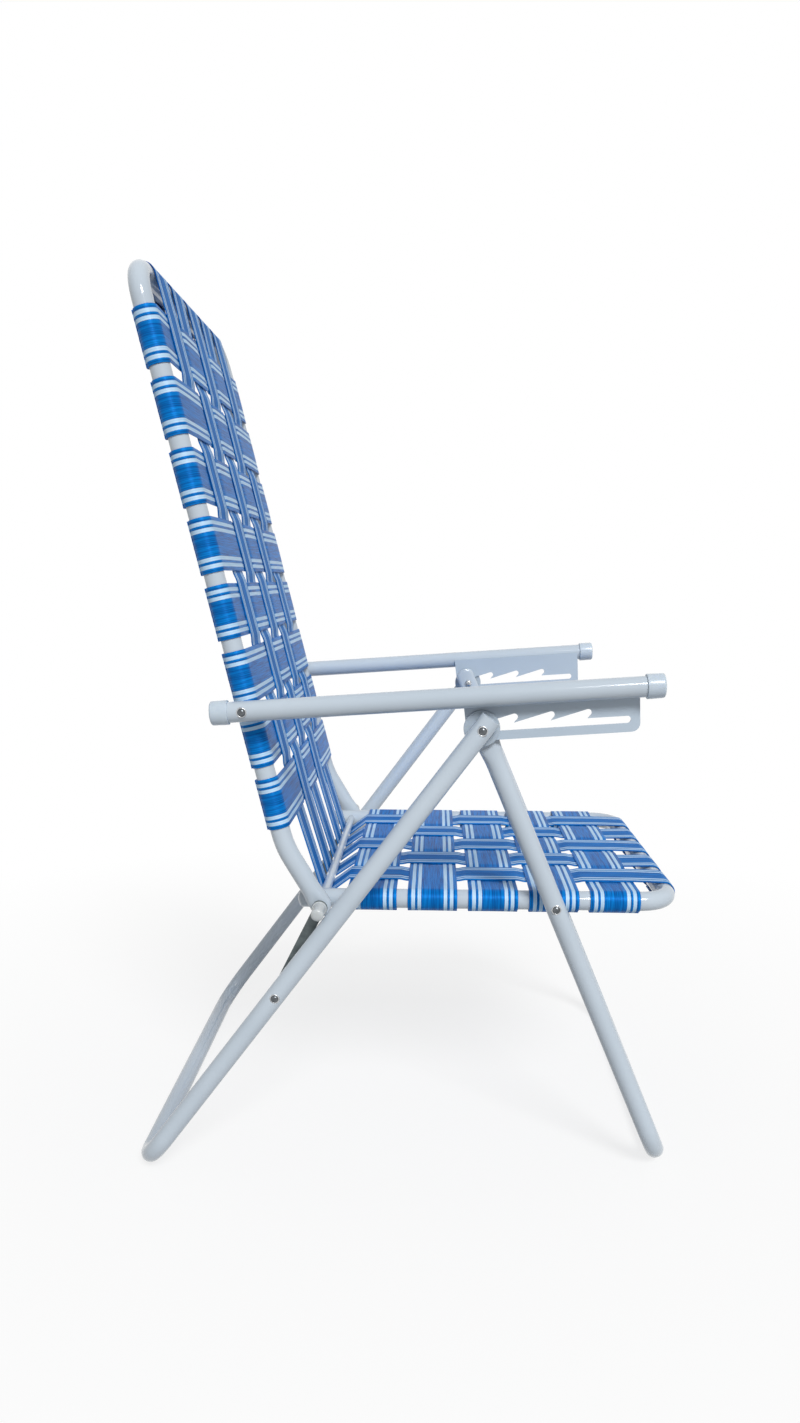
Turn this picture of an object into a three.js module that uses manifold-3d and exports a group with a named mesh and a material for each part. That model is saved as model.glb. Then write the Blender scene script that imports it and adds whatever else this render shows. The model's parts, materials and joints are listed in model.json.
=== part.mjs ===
// Folding lawn chair with a woven seat and a reclining back.
// Millimetres: +X is forward, +Y is the sitter's left, +Z is up, and the floor is at Z = 0.
import * as THREE from "three";
import { mergeVertices } from "three/addons/utils/BufferGeometryUtils.js";
import Module from "manifold-3d";

const wasm = await Module();
wasm.setup();
const degree = Math.PI / 180;

// Stock
const tubeDiameter = 22.2;
const tubeWall = 1.3;
const webWidth = 57;
const webThickness = 1.2;
const rodDiameter = 11.1;
const rivetDiameter = 7;
const clearance = 0.3;

// Side view of the open chair, on the axes of its tubes
const legPivotX = 83;
const legPivotZ = 535;
const footSpread = 618;
const seatHeight = 331;
const rodBehindLeg = 19.56;
const linkReach = 108.6;
const seatLength = 400;
const seatRearEnd = 29;
const backLean = 13.35 * degree;
const backOffset = 23;
const backBend = 17 * degree;
const backLength = 688;
const backNarrowing = 25;
const armJoint = 233;
const armDrop = 34.6;
const armBehind = 34.4;
const armAhead = 191;

// Front view: the seat tubes set the width and the rest is stacked outwards from them
const seatHalfWidth = 213;
const seatWasherThickness = 2.7;
const innerWasherThickness = 2.9;
const rackThickness = 2;
const outerWasherThickness = 2.7;
const linkThickness = 3;

// Bends and tube ends
const legBendRadius = 50;
const seatBendRadius = 36;
const topBendRadius = 36;
const backBendRadius = 110;
const rearLegEnd = 15;
const openEndDepth = 25;
const tangEnd = 22;
const tangWidth = 26;
const tangThickness = 10;
const tangNose = 9;
const tangFlat = 36;
const tangReach = 66;
const backEnd = 12;
const backEndWidth = 24.5;
const backEndThickness = 19;
const backEndFlat = 18;
const backEndReach = 36;
const seatEndNose = 6;

// Webbing layout
const longPitch = 74;
const firstStrapFromBar = 64.8;
const firstBackStrapFromBar = 70;
const lastBackStrapFromRod = 126;
const lastSeatStrapFromRod = 56.8;
const weaveLead = 1;
const webHoleClearance = 0.25;
const wrapEnd = 210 * degree;
const backTail = 20;
const backRodEnd = 202 * degree;
const seatRodEnd = 258 * degree;

// Recline rack, measured from the leg pivot's pin along the arm
const rackBehind = 18.6;
const rackAhead = 167.6;
const rackBelowPin = 13.4;
const rackCorner = 9;
const hookFirst = -4;
const hookPitch = 39;
const hookRise = 9.7;
const hookTip = -0.5;
const rackRearSlant = 3;
const slotRearRise = 1;
const slotAhead = 154;

// Small turned and flat pieces
const capWall = 1.7;
const capLength = 19;
const capEnd = 3;
const capChamfer = 2;
const linkWidth = 12.7;
const linkEyeWall = 3;
const rodCapWall = 1.35;
const rodCapFlange = 1.3;
const rodCapRim = 1.5;
const rodCapNose = 3;
const rodCapEnd = 9;
const rodCapPastLeg = 1;
const outerWasherRadius = 19.5;
const innerWasherRadius = 13;
const seatWasherRadius = 10;
const spacerRadius = 8;
const headRadius = 4.8;
const headHeight = 2.8;
const tailHeight = 2;
const headSeatDepth = 0.9;

// Derived sizes
const tubeRadius = tubeDiameter / 2;
const tubeSides = 16;
const rodRadius = rodDiameter / 2;
const rivetRadius = rivetDiameter / 2;
const wrapInner = tubeRadius + clearance;
const wrapOuter = wrapInner + webThickness;
const weaveStep = webThickness + clearance;
const footZ = tubeRadius * Math.cos(Math.PI / tubeSides);
const frontFootX = footSpread / 2;
const rearFootX = -footSpread / 2;

const seatWasherInner = seatHalfWidth + wrapOuter + clearance;
const frontLegInner = seatWasherInner + seatWasherThickness + clearance;
const frontLegHalfWidth = frontLegInner + tubeRadius;
const frontLegOuter = frontLegHalfWidth + tubeRadius;
const backHalfWidth = frontLegHalfWidth;
const backTopHalfWidth = backHalfWidth - backNarrowing;
const backBendZ = backOffset / Math.tan(backBend);
const backSlope = backNarrowing / (backLength - backBendZ);
const backHalfAt = (z) => backHalfWidth - backSlope * (z - backBendZ);
const innerWasherInner = frontLegOuter + clearance;
const rackInner = innerWasherInner + innerWasherThickness + clearance;
const rackOuter = rackInner + rackThickness;
const outerWasherInner = rackOuter + clearance;
const rearLegInner = outerWasherInner + outerWasherThickness + clearance;
const rearLegHalfWidth = rearLegInner + tubeRadius;
const rearLegOuter = rearLegHalfWidth + tubeRadius;
const armHalfWidth = rackOuter + clearance + tubeRadius;
const armOuter = armHalfWidth + tubeRadius;
const linkInner = backHalfWidth + wrapOuter + clearance;
const linkOuter = linkInner + linkThickness;

const legPivot = new THREE.Vector2(legPivotX, legPivotZ);
const frontFoot = new THREE.Vector2(frontFootX, footZ);
const rearFoot = new THREE.Vector2(rearFootX, footZ);
const frontLegLength = legPivot.distanceTo(frontFoot);
const rearLegLength = legPivot.distanceTo(rearFoot);
const frontLegTurn = Math.atan2(legPivot.x - frontFoot.x, legPivot.y - frontFoot.y);
const rearLegTurn = Math.atan2(legPivot.x - rearFoot.x, legPivot.y - rearFoot.y);
const legXAtSeat = THREE.MathUtils.mapLinear(seatHeight, legPivotZ, footZ, legPivotX, rearFootX);
const rodX = legXAtSeat - rodBehindLeg / Math.cos(rearLegTurn);
const rod = new THREE.Vector2(rodX, seatHeight);
const seatFrontX = rodX + seatLength;
const seatRearX = rodX - seatRearEnd;
const legDown = rearFoot.clone().sub(legPivot).normalize();
const linkJoint = rod.clone().sub(legPivot).dot(legDown) + linkReach;
const seatPivot = legPivot.clone().lerp(frontFoot, (legPivotZ - seatHeight) / (legPivotZ - footZ));
const linkPivot = legPivot.clone().lerp(rearFoot, linkJoint / rearLegLength);
const armPivot = new THREE.Vector2(-backOffset, armJoint)
  .rotateAround(new THREE.Vector2(), backLean)
  .add(rod);
const armToPin = legPivot.clone().sub(armPivot);
const armTurn = -Math.atan2(armToPin.y, armToPin.x) - Math.asin(armDrop / armToPin.length());
const pinAlong = Math.sqrt(armToPin.lengthSq() - armDrop ** 2);

// Colours
const coat = { color: 0xe6ebf0, roughness: 0.35, metalness: 0.1 };
const plastic = { color: 0xf2f3f3, roughness: 0.25, metalness: 0 };
const steel = { color: 0xb9bcc0, roughness: 0.25, metalness: 1 };
const darkSteel = { color: 0x3b3d40, roughness: 0.5, metalness: 0.8 };
const webbing = { color: 0x2f6fb8, roughness: 0.7, metalness: 0 };

// A tube's route: straight runs between corners, each corner rounded to its radius.
// Extra stations can be given near both ends.
class BentPath extends THREE.Curve {
  constructor(corners, radii, normal, endStations = []) {
    super();
    this.points = [];
    this.frames = { tangents: [], normals: [], binormals: [] };
    const heading = corners[1].clone().sub(corners[0]).normalize();
    const across = normal.clone();
    const first = corners[0];
    const last = corners[corners.length - 1];
    this.station(first, heading, across);
    for (const distance of endStations) {
      this.station(first.clone().addScaledVector(heading, distance), heading, across);
    }
    for (let i = 1; i < corners.length - 1; i++) {
      const next = corners[i + 1].clone().sub(corners[i]).normalize();
      const turn = heading.angleTo(next);
      const axis = heading.clone().cross(next).normalize();
      const radius = radii[i - 1];
      const start = corners[i].clone().addScaledVector(heading, -radius * Math.tan(turn / 2));
      const centre = start.clone().addScaledVector(axis.clone().cross(heading), radius);
      const steps = Math.max(2, Math.ceil(turn / (15 * degree)));
      for (let k = 0; k <= steps; k++) {
        const angle = (turn * k) / steps;
        this.station(
          start.clone().sub(centre).applyAxisAngle(axis, angle).add(centre),
          heading.clone().applyAxisAngle(axis, angle),
          across.clone().applyAxisAngle(axis, angle),
        );
      }
      heading.copy(next);
      across.applyAxisAngle(axis, turn);
    }
    for (const distance of [...endStations].reverse()) {
      this.station(last.clone().addScaledVector(heading, -distance), heading, across);
    }
    this.station(last, heading, across);
  }

  station(point, tangent, normal) {
    this.points.push(point.clone());
    this.frames.tangents.push(tangent.clone());
    this.frames.normals.push(normal.clone());
    this.frames.binormals.push(tangent.clone().cross(normal));
  }

  getSpacedPoints() {
    return this.points;
  }

  computeFrenetFrames() {
    return this.frames;
  }
}

// A round tube along a path; one of its flats faces the angle given, measured in the section.
function tube(path, flatAngle = 0) {
  const section = new THREE.Shape();
  for (let i = 0; i < tubeSides; i++) {
    const angle = flatAngle + ((i + 0.5) * 2 * Math.PI) / tubeSides;
    const corner = [tubeRadius * Math.cos(angle), tubeRadius * Math.sin(angle)];
    if (i === 0) section.moveTo(...corner);
    else section.lineTo(...corner);
  }
  return new THREE.ExtrudeGeometry(section, {
    steps: path.points.length - 1,
    extrudePath: path,
    bevelEnabled: false,
  });
}

// Shapes both ends of a U-shaped tube: pressed at the tip, round again at `reach`, with a rounded nose.
function pressEnds(geometry, ends) {
  const { halfWidth, tip, inward, flat, reach, width, thickness, outward = 0, nose, dome } = ends;
  const position = geometry.attributes.position;
  const across = new THREE.Vector2(-inward.y, inward.x);
  for (let i = 0; i < position.count; i++) {
    const offset = new THREE.Vector2(position.getX(i), position.getZ(i)).sub(tip);
    const along = offset.dot(inward);
    if (along > reach) continue;
    const side = Math.sign(position.getY(i));
    const pressed = 1 - THREE.MathUtils.smoothstep(along, flat, reach);
    const rounded = Math.sqrt(1 - (1 - THREE.MathUtils.clamp(along / nose, 0, 1)) ** 2);
    const noseScale = Math.max(rounded, 0.35);
    const wide = offset.dot(across) * (1 + pressed * (width / tubeDiameter - 1)) * noseScale;
    const thick = side * position.getY(i) - halfWidth;
    const thickScale = (1 + pressed * (thickness / tubeDiameter - 1)) * (dome ? noseScale : 1);
    const place = tip.clone().addScaledVector(inward, along).addScaledVector(across, wide);
    position.setXYZ(i, place.x, side * (halfWidth + thick * thickScale + pressed * outward), place.y);
  }
  return geometry;
}

// Joins equal corners, drops triangles without area and keeps positions only.
function weld(geometry) {
  const bare = new THREE.BufferGeometry();
  bare.setAttribute("position", geometry.attributes.position.clone());
  if (geometry.index) bare.setIndex(geometry.index.clone());
  const welded = mergeVertices(bare, 1e-4);
  const kept = [];
  for (let i = 0; i < welded.index.count; i += 3) {
    const [a, b, c] = [0, 1, 2].map((k) => welded.index.getX(i + k));
    if (a !== b && b !== c && c !== a) kept.push(a, b, c);
  }
  welded.setIndex(kept);
  return welded;
}

function toSolid(geometry) {
  const welded = weld(geometry);
  const vertProperties = new Float32Array(welded.attributes.position.array);
  const triVerts = new Uint32Array(welded.index.array);
  return new wasm.Manifold(new wasm.Mesh({ numProp: 3, vertProperties, triVerts }));
}

function toGeometry(solid) {
  const mesh = solid.getMesh();
  const geometry = new THREE.BufferGeometry();
  geometry.setAttribute("position", new THREE.BufferAttribute(new Float32Array(mesh.vertProperties), 3));
  geometry.setIndex([...mesh.triVerts]);
  return geometry;
}

// A round cutter across the chair at (x, z), from one Y to the other.
function drill(x, z, radius, fromY = -rearLegOuter - 5, toY = rearLegOuter + 5) {
  return new THREE.CylinderGeometry(radius, radius, toY - fromY, 16).translate(x, (fromY + toY) / 2, z);
}

// Shallow flat seats for rivet heads on the outer sides of both tubes.
function headSeats(x, z, outerY) {
  const low = outerY - headSeatDepth;
  const radius = headRadius + clearance;
  return [drill(x, z, radius, low, outerY + 5), drill(x, z, radius, -outerY - 5, -low)];
}

function cut(geometry, cutters) {
  return toGeometry(cutters.reduce((solid, cutter) => solid.subtract(toSolid(cutter)), toSolid(geometry)));
}

// A closed profile of [radius, y] corners turned about Y.
function turned(profile, sides = 16) {
  return new THREE.LatheGeometry([...profile, profile[0]].map(([x, y]) => new THREE.Vector2(x, y)), sides);
}

function washer(inner, thickness, radius, bore) {
  const outer = inner + thickness;
  return turned([[bore, inner], [radius, inner], [radius, outer], [bore, outer]]);
}

// A rivet: flat round tail inside, shank, and a domed head outside.
function rivet(tailFace, headFace, tailRadius = headRadius) {
  const tailEnd = tailFace - tailHeight;
  const tail = tailRadius > rivetRadius
    ? [
      [0, tailEnd],
      [tailRadius * 0.7, tailEnd],
      [tailRadius, tailFace - tailHeight * 0.5],
      [tailRadius, tailFace],
    ]
    : [[0, tailFace]];
  return turned([
    ...tail,
    [rivetRadius, tailFace],
    [rivetRadius, headFace],
    [headRadius, headFace],
    [headRadius * 0.92, headFace + headHeight * 0.5],
    [headRadius * 0.6, headFace + headHeight * 0.85],
    [0, headFace + headHeight],
  ], 12);
}

// Adds an arc about (x, y) to an outline as short straight steps.
function addArc(path, x, y, radius, from, to) {
  const steps = Math.ceil(Math.abs(to - from) / (18 * degree));
  for (let k = 0; k <= steps; k++) {
    const angle = from + ((to - from) * k) / steps;
    const corner = [x + radius * Math.cos(angle), y + radius * Math.sin(angle)];
    if (k === 0 && path.curves.length === 0) path.moveTo(...corner);
    else path.lineTo(...corner);
  }
}

// A side-view outline given thickness from one Y to the other.
function plate(shape, fromY, toY) {
  const geometry = new THREE.ExtrudeGeometry(shape, { depth: toY - fromY, bevelEnabled: false });
  return geometry.rotateX(Math.PI / 2).translate(0, toY, 0);
}

// A strap across two tubes, centred on Z = 0: over their front sides, round the outsides and on to the back.
// Where the tubes come closer together upwards, its ends slant with them by `slope`.
function crossStrap(halfWidth, slope = 0) {
  const shape = new THREE.Shape();
  addArc(shape, 0, halfWidth, wrapOuter, wrapEnd, 0);
  addArc(shape, 0, -halfWidth, wrapOuter, 0, -wrapEnd);
  addArc(shape, 0, -halfWidth, wrapInner, -wrapEnd, 0);
  addArc(shape, 0, halfWidth, wrapInner, 0, wrapEnd);
  const geometry = new THREE.ExtrudeGeometry(shape, { depth: webWidth, bevelEnabled: false });
  geometry.translate(0, 0, -webWidth / 2);
  const position = geometry.attributes.position;
  for (let i = 0; i < position.count; i++) {
    const y = position.getY(i);
    position.setY(i, y - Math.sign(y) * slope * position.getZ(i));
  }
  return geometry;
}

const isOver = (lane, row) => (lane + row) % 2 === 0;
const lanes = [1, 2, 3, 4, 5];
const backRows = [1, 2, 3, 4, 5, 6, 7, 8];
const seatRows = [1, 2, 3, 4, 5];
const laneY = (lane) => (3 - lane) * longPitch;
const backPitch = (backLength - firstBackStrapFromBar - lastBackStrapFromRod) / (backRows.length - 1);
const seatPitch = (seatLength - firstStrapFromBar - lastSeatStrapFromRod) / (seatRows.length - 1);
const backRowZ = (row) => lastBackStrapFromRod + (backRows.length - row) * backPitch;
const seatRowX = (row) => rodX + lastSeatStrapFromRod + (row - 1) * seatPitch;
const rowHalf = webWidth / 2 + weaveLead;
const strapMiddle = (wrapInner + wrapOuter) / 2;

// A back strap from behind the rod, over and under the cross straps and over the top bar to its tail.
function backLongStrap(lane) {
  const rodInner = rodRadius + clearance;
  const rodOuter = rodInner + webThickness;
  const shape = new THREE.Shape();
  const rowX = (row) => -backOffset + strapMiddle + (isOver(lane, row) ? weaveStep : -weaveStep);
  addArc(shape, 0, 0, rodOuter, backRodEnd, Math.PI);
  for (const row of [...backRows].reverse()) {
    shape.lineTo(rowX(row) - webThickness / 2, backRowZ(row) - rowHalf);
    shape.lineTo(rowX(row) - webThickness / 2, backRowZ(row) + rowHalf);
  }
  addArc(shape, -backOffset, backLength, wrapInner, 0, Math.PI);
  shape.lineTo(-backOffset - wrapInner, backLength - backTail);
  shape.lineTo(-backOffset - wrapOuter, backLength - backTail);
  addArc(shape, -backOffset, backLength, wrapOuter, Math.PI, 0);
  for (const row of backRows) {
    shape.lineTo(rowX(row) + webThickness / 2, backRowZ(row) + rowHalf);
    shape.lineTo(rowX(row) + webThickness / 2, backRowZ(row) - rowHalf);
  }
  addArc(shape, 0, 0, rodInner, Math.PI, backRodEnd);
  return plate(shape, laneY(lane) - webWidth / 2, laneY(lane) + webWidth / 2);
}

// A seat strap from under the rod, over and under the cross straps, and around the front bar.
function seatLongStrap(lane) {
  const rodInner = rodRadius + clearance;
  const rodOuter = rodInner + webThickness;
  const shape = new THREE.Shape();
  const rowZ = (row) => strapMiddle + (isOver(lane, row) ? weaveStep : -weaveStep);
  const rear = new THREE.Vector2(seatRowX(1) - rowHalf - rodX, rowZ(1));
  const leave = 2 * Math.PI + rear.angle() - Math.acos((rodInner + webThickness / 2) / rear.length());
  addArc(shape, rodX, 0, rodOuter, seatRodEnd, leave);
  for (const row of seatRows) {
    shape.lineTo(seatRowX(row) - rowHalf, rowZ(row) - webThickness / 2);
    shape.lineTo(seatRowX(row) + rowHalf, rowZ(row) - webThickness / 2);
  }
  const frontEnd = Math.PI / 2 - wrapEnd;
  addArc(shape, seatFrontX, 0, wrapInner, Math.PI / 2, frontEnd);
  addArc(shape, seatFrontX, 0, wrapOuter, frontEnd, Math.PI / 2);
  for (const row of [...seatRows].reverse()) {
    shape.lineTo(seatRowX(row) + rowHalf, rowZ(row) + webThickness / 2);
    shape.lineTo(seatRowX(row) - rowHalf, rowZ(row) + webThickness / 2);
  }
  addArc(shape, rodX, 0, rodInner, leave, seatRodEnd);
  return plate(shape, laneY(lane) - webWidth / 2, laneY(lane) + webWidth / 2);
}

// The rack's outline in the arm's frame, with one slot: a straight channel with four hooks above it.
function rackShape() {
  const [pinX, pinZ] = [pinAlong, -armDrop];
  const half = rivetRadius + clearance;
  const bottom = pinZ - rackBelowPin;
  const front = pinX + rackAhead;
  const rear = pinX - rackBehind;
  const shape = new THREE.Shape();
  shape.moveTo(rear, 0);
  shape.lineTo(rear + rackRearSlant, bottom);
  addArc(shape, front - rackCorner, bottom + rackCorner, rackCorner, -Math.PI / 2, 0);
  shape.lineTo(front, 0);
  const hookX = (hook) => pinX + hookFirst + hook * hookPitch;
  const hookZ = pinZ + hookRise;
  const tip = (hook) => [hookX(hook) + hookTip, pinZ + half];
  const rearWall = tip(0)[0] - 2 * half - clearance;
  const slot = new THREE.Path();
  slot.moveTo(rearWall, pinZ - half / 2);
  slot.lineTo(rearWall + half, pinZ - half);
  addArc(slot, pinX + slotAhead, pinZ, half, -Math.PI / 2, Math.PI / 2);
  for (const hook of [3, 2, 1, 0]) {
    slot.lineTo(...tip(hook));
    const ramp = hook > 0 ? Math.atan2(hookRise, hookPitch) : Math.PI / 2;
    addArc(slot, hookX(hook), hookZ, half, -60 * degree, Math.PI / 2 + ramp);
  }
  slot.lineTo(rearWall, pinZ + slotRearRise);
  shape.holes.push(slot);
  return shape;
}

// A flat bar from the rod down to the rear leg, along +X from its bored end.
function linkShape(length) {
  const half = linkWidth / 2;
  const eye = rodRadius + clearance + linkEyeWall;
  const shape = new THREE.Shape();
  const neck = Math.asin(half / eye);
  addArc(shape, 0, 0, eye, neck, 2 * Math.PI - neck);
  addArc(shape, length, 0, half, -Math.PI / 2, Math.PI / 2);
  const bore = new THREE.Path();
  addArc(bore, 0, 0, rodRadius + clearance, 2 * Math.PI, 0);
  shape.holes.push(bore);
  return shape;
}

const chair = new THREE.Group();

// A group at a pivot in the side view, turned about Y.
function frameAt(pivot, turn) {
  const group = new THREE.Group();
  group.position.set(pivot.x, 0, pivot.y);
  group.rotation.y = turn;
  chair.add(group);
  return group;
}

function piece(group, name, geometry, look) {
  const mesh = new THREE.Mesh(weld(geometry), new THREE.MeshStandardMaterial(look));
  mesh.name = name;
  group.add(mesh);
  return mesh;
}

// The same turned piece on both sides; the right one is turned half round, so its outside faces outwards.
function pair(group, name, geometry, look, x = 0, z = 0) {
  for (const [side, half] of [["left", 0], ["right", Math.PI]]) {
    const mesh = piece(group, `${name}_${side}`, geometry, look);
    mesh.position.set(x, 0, z);
    mesh.rotation.x = half;
  }
}

// A flat piece on both sides, between two distances from the middle.
function platePair(group, name, shape, innerY, outerY, look) {
  piece(group, `${name}_left`, plate(shape, innerY, outerY), look);
  piece(group, `${name}_right`, plate(shape, -outerY, -innerY), look);
}

// Distances from a tube's end where its pressed shape needs a station.
const noseStations = (nose) => [0.1, 0.3, 0.6, 1].map((share) => share * nose);
const blendStations = (flat, reach) => [0, 0.35, 0.65, 1].map((share) => flat + share * (reach - flat));

const alongX = new THREE.Vector3(1, 0, 0);
const alongZ = new THREE.Vector3(0, 0, 1);
const rivetBore = rivetRadius + clearance;
const rodBore = rodRadius + clearance;

// Front legs: a U from one pressed end down, across the floor and up again
const frontLegs = frameAt(legPivot, frontLegTurn);
const uCorners = (halfWidth, topZ, bottomZ) => [
  new THREE.Vector3(0, halfWidth, topZ),
  new THREE.Vector3(0, halfWidth, bottomZ),
  new THREE.Vector3(0, -halfWidth, bottomZ),
  new THREE.Vector3(0, -halfWidth, topZ),
];
const frontLegPath = new BentPath(
  uCorners(frontLegHalfWidth, tangEnd, -frontLegLength),
  [legBendRadius, legBendRadius],
  alongX,
  [...noseStations(tangNose), ...blendStations(tangFlat, tangReach)],
);
const frontLegTube = pressEnds(tube(frontLegPath, frontLegTurn - Math.PI / 2), {
  halfWidth: frontLegHalfWidth,
  tip: new THREE.Vector2(0, tangEnd),
  inward: new THREE.Vector2(0, -1),
  flat: tangFlat,
  reach: tangReach,
  width: tangWidth,
  thickness: tangThickness,
  outward: tubeRadius - tangThickness / 2,
  nose: tangNose,
});
const seatPivotDown = -legPivot.distanceTo(seatPivot);
piece(frontLegs, "front_leg_frame", cut(frontLegTube, [
  drill(0, 0, rivetBore),
  drill(0, seatPivotDown, rivetBore),
  ...headSeats(0, seatPivotDown, frontLegOuter),
]), coat);
const tangInner = frontLegOuter - tangThickness;
pair(frontLegs, "leg_rivet", rivet(tangInner - clearance, rearLegOuter - headSeatDepth + clearance), steel);
const seatTubeInner = seatHalfWidth - tubeRadius;
const seatRivet = rivet(seatTubeInner - clearance, frontLegOuter - headSeatDepth + clearance);
pair(frontLegs, "seat_rivet", seatRivet, steel, 0, seatPivotDown);
const seatWasher = washer(seatWasherInner, seatWasherThickness, seatWasherRadius, rivetBore);
pair(frontLegs, "seat_washer", seatWasher, plastic, 0, seatPivotDown);
const outerLegWasher = washer(outerWasherInner, outerWasherThickness, outerWasherRadius, rivetBore);
pair(frontLegs, "outer_leg_washer", outerLegWasher, plastic);
const innerLegWasher = washer(innerWasherInner, innerWasherThickness, innerWasherRadius, rivetBore);
pair(frontLegs, "inner_leg_washer", innerLegWasher, plastic);

// Rear legs: a U with open square ends
const rearLegs = frameAt(legPivot, rearLegTurn);
const rearLegPath = new BentPath(
  uCorners(rearLegHalfWidth, rearLegEnd, -rearLegLength),
  [legBendRadius, legBendRadius],
  alongX,
);
const tubeBore = tubeRadius - tubeWall;
const openEnds = [1, -1].map((side) => new THREE.CylinderGeometry(tubeBore, tubeBore, openEndDepth * 2, 16)
  .rotateX(Math.PI / 2)
  .translate(0, side * rearLegHalfWidth, rearLegEnd));
piece(rearLegs, "rear_leg_frame", cut(tube(rearLegPath, rearLegTurn - Math.PI / 2), [
  ...openEnds,
  drill(0, 0, rivetBore),
  drill(0, -linkJoint, rivetBore),
  ...headSeats(0, 0, rearLegOuter),
  ...headSeats(0, -linkJoint, rearLegOuter),
]), coat);
const linkRivet = rivet(linkOuter + clearance, rearLegOuter - headSeatDepth + clearance, 0);
pair(rearLegs, "link_rivet", linkRivet, steel, 0, -linkJoint);

// Seat: a flat U open to the rear
const seat = frameAt(new THREE.Vector2(0, seatHeight), 0);
const seatPath = new BentPath(
  [
    new THREE.Vector3(seatRearX, seatHalfWidth, 0),
    new THREE.Vector3(seatFrontX, seatHalfWidth, 0),
    new THREE.Vector3(seatFrontX, -seatHalfWidth, 0),
    new THREE.Vector3(seatRearX, -seatHalfWidth, 0),
  ],
  [seatBendRadius, seatBendRadius],
  alongZ,
  noseStations(seatEndNose),
);
const seatTube = pressEnds(tube(seatPath), {
  halfWidth: seatHalfWidth,
  tip: new THREE.Vector2(seatRearX, 0),
  inward: new THREE.Vector2(1, 0),
  flat: 0,
  reach: seatEndNose,
  width: tubeDiameter,
  thickness: tubeDiameter,
  nose: seatEndNose,
  dome: true,
});
piece(seat, "seat_frame", cut(seatTube, [drill(rodX, 0, rodBore), drill(seatPivot.x, 0, rivetBore)]), coat);
for (const row of seatRows) {
  const strap = crossStrap(seatHalfWidth).rotateY(-Math.PI / 2).translate(seatRowX(row), 0, 0);
  const meetsRivet = Math.abs(seatRowX(row) - seatPivot.x) < webWidth / 2 + rivetBore;
  const punched = meetsRivet ? cut(strap, [drill(seatPivot.x, 0, rivetBore + 1)]) : strap;
  piece(seat, `seat_cross_strap_${row}`, punched, webbing);
}
for (const lane of lanes) piece(seat, `seat_long_strap_${lane}`, seatLongStrap(lane), webbing);

// Rod with its caps, and the links that hang from it
const rodGroup = frameAt(rod, 0);
const rodCapInner = linkOuter + clearance;
const rodCapOuter = rearLegOuter + rodCapPastLeg;
const rodEnd = rodCapOuter - rodCapEnd;
piece(rodGroup, "seat_pivot_rod", new THREE.CylinderGeometry(rodRadius, rodRadius, 2 * rodEnd, 16), coat);
const rodCapRadius = rodBore + rodCapWall;
pair(rodGroup, "rod_cap", turned([
  [rodBore, rodCapInner],
  [rodCapRadius + rodCapFlange, rodCapInner],
  [rodCapRadius + rodCapFlange, rodCapInner + rodCapRim],
  [rodCapRadius, rodCapInner + rodCapRim],
  [rodCapRadius, rodCapOuter - rodCapNose],
  [rodCapRadius * 0.8, rodCapOuter - rodCapNose * 0.25],
  [0, rodCapOuter],
  [0, rodEnd + clearance],
  [rodBore, rodEnd + clearance],
]), plastic);
const linkDirection = linkPivot.clone().sub(rod);
const links = frameAt(rod, -linkDirection.angle());
platePair(links, "fold_link", linkShape(linkDirection.length()), linkInner, linkOuter, darkSteel);

// Back: an upside-down U whose lower ends bend forward to the rod
const back = frameAt(rod, -backLean);
const lowerInward = new THREE.Vector2(-Math.sin(backBend), Math.cos(backBend));
const lowerTip = lowerInward.clone().multiplyScalar(-backEnd);
const backSide = (side) => [
  new THREE.Vector3(lowerTip.x, side * backHalfWidth, lowerTip.y),
  new THREE.Vector3(-backOffset, side * backHalfWidth, backBendZ),
  new THREE.Vector3(-backOffset, side * backTopHalfWidth, backLength),
];
const backPath = new BentPath(
  [...backSide(1), ...backSide(-1).reverse()],
  [backBendRadius, topBendRadius, topBendRadius, backBendRadius],
  new THREE.Vector3(lowerInward.y, 0, -lowerInward.x),
  [...noseStations(backEndWidth / 2), ...blendStations(backEndFlat, backEndReach)],
);
const backTube = pressEnds(tube(backPath), {
  halfWidth: backHalfWidth,
  tip: lowerTip,
  inward: lowerInward,
  flat: backEndFlat,
  reach: backEndReach,
  width: backEndWidth,
  thickness: backEndThickness,
  nose: backEndWidth / 2,
});
const backBores = [drill(0, 0, rodBore), drill(-backOffset, armJoint, rivetBore)];
piece(back, "back_frame", cut(backTube, backBores), coat);
// The spacers stay clear of the strap below the arm joint while the arms swing.
const spacerInner = backHalfAt(backRowZ(backRows.length - 1) - webWidth / 2) + wrapOuter + clearance;
const tailFace = backHalfAt(armJoint + headRadius) - tubeRadius - clearance;
pair(back, "arm_rivet_tail", turned([
  [0, tailFace - tailHeight],
  [headRadius * 0.7, tailFace - tailHeight],
  [headRadius, tailFace - tailHeight * 0.5],
  [headRadius, tailFace],
  [rivetRadius, tailFace],
  [rivetRadius, spacerInner - clearance],
  [0, spacerInner - clearance],
], 12), steel, -backOffset, armJoint);
// A strap that comes to lie on the arm joint is punched for the rivet's tail.
const tailHole = headRadius + webHoleClearance;
for (const row of backRows) {
  const z = backRowZ(row);
  const strap = crossStrap(backHalfAt(z), backSlope).translate(-backOffset, 0, z);
  const meetsRivet = Math.abs(z - armJoint) < webWidth / 2 + tailHole;
  const punched = meetsRivet ? cut(strap, [drill(-backOffset, armJoint, tailHole)]) : strap;
  piece(back, `back_cross_strap_${row}`, punched, webbing);
}
for (const lane of lanes) piece(back, `back_long_strap_${lane}`, backLongStrap(lane), webbing);

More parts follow.
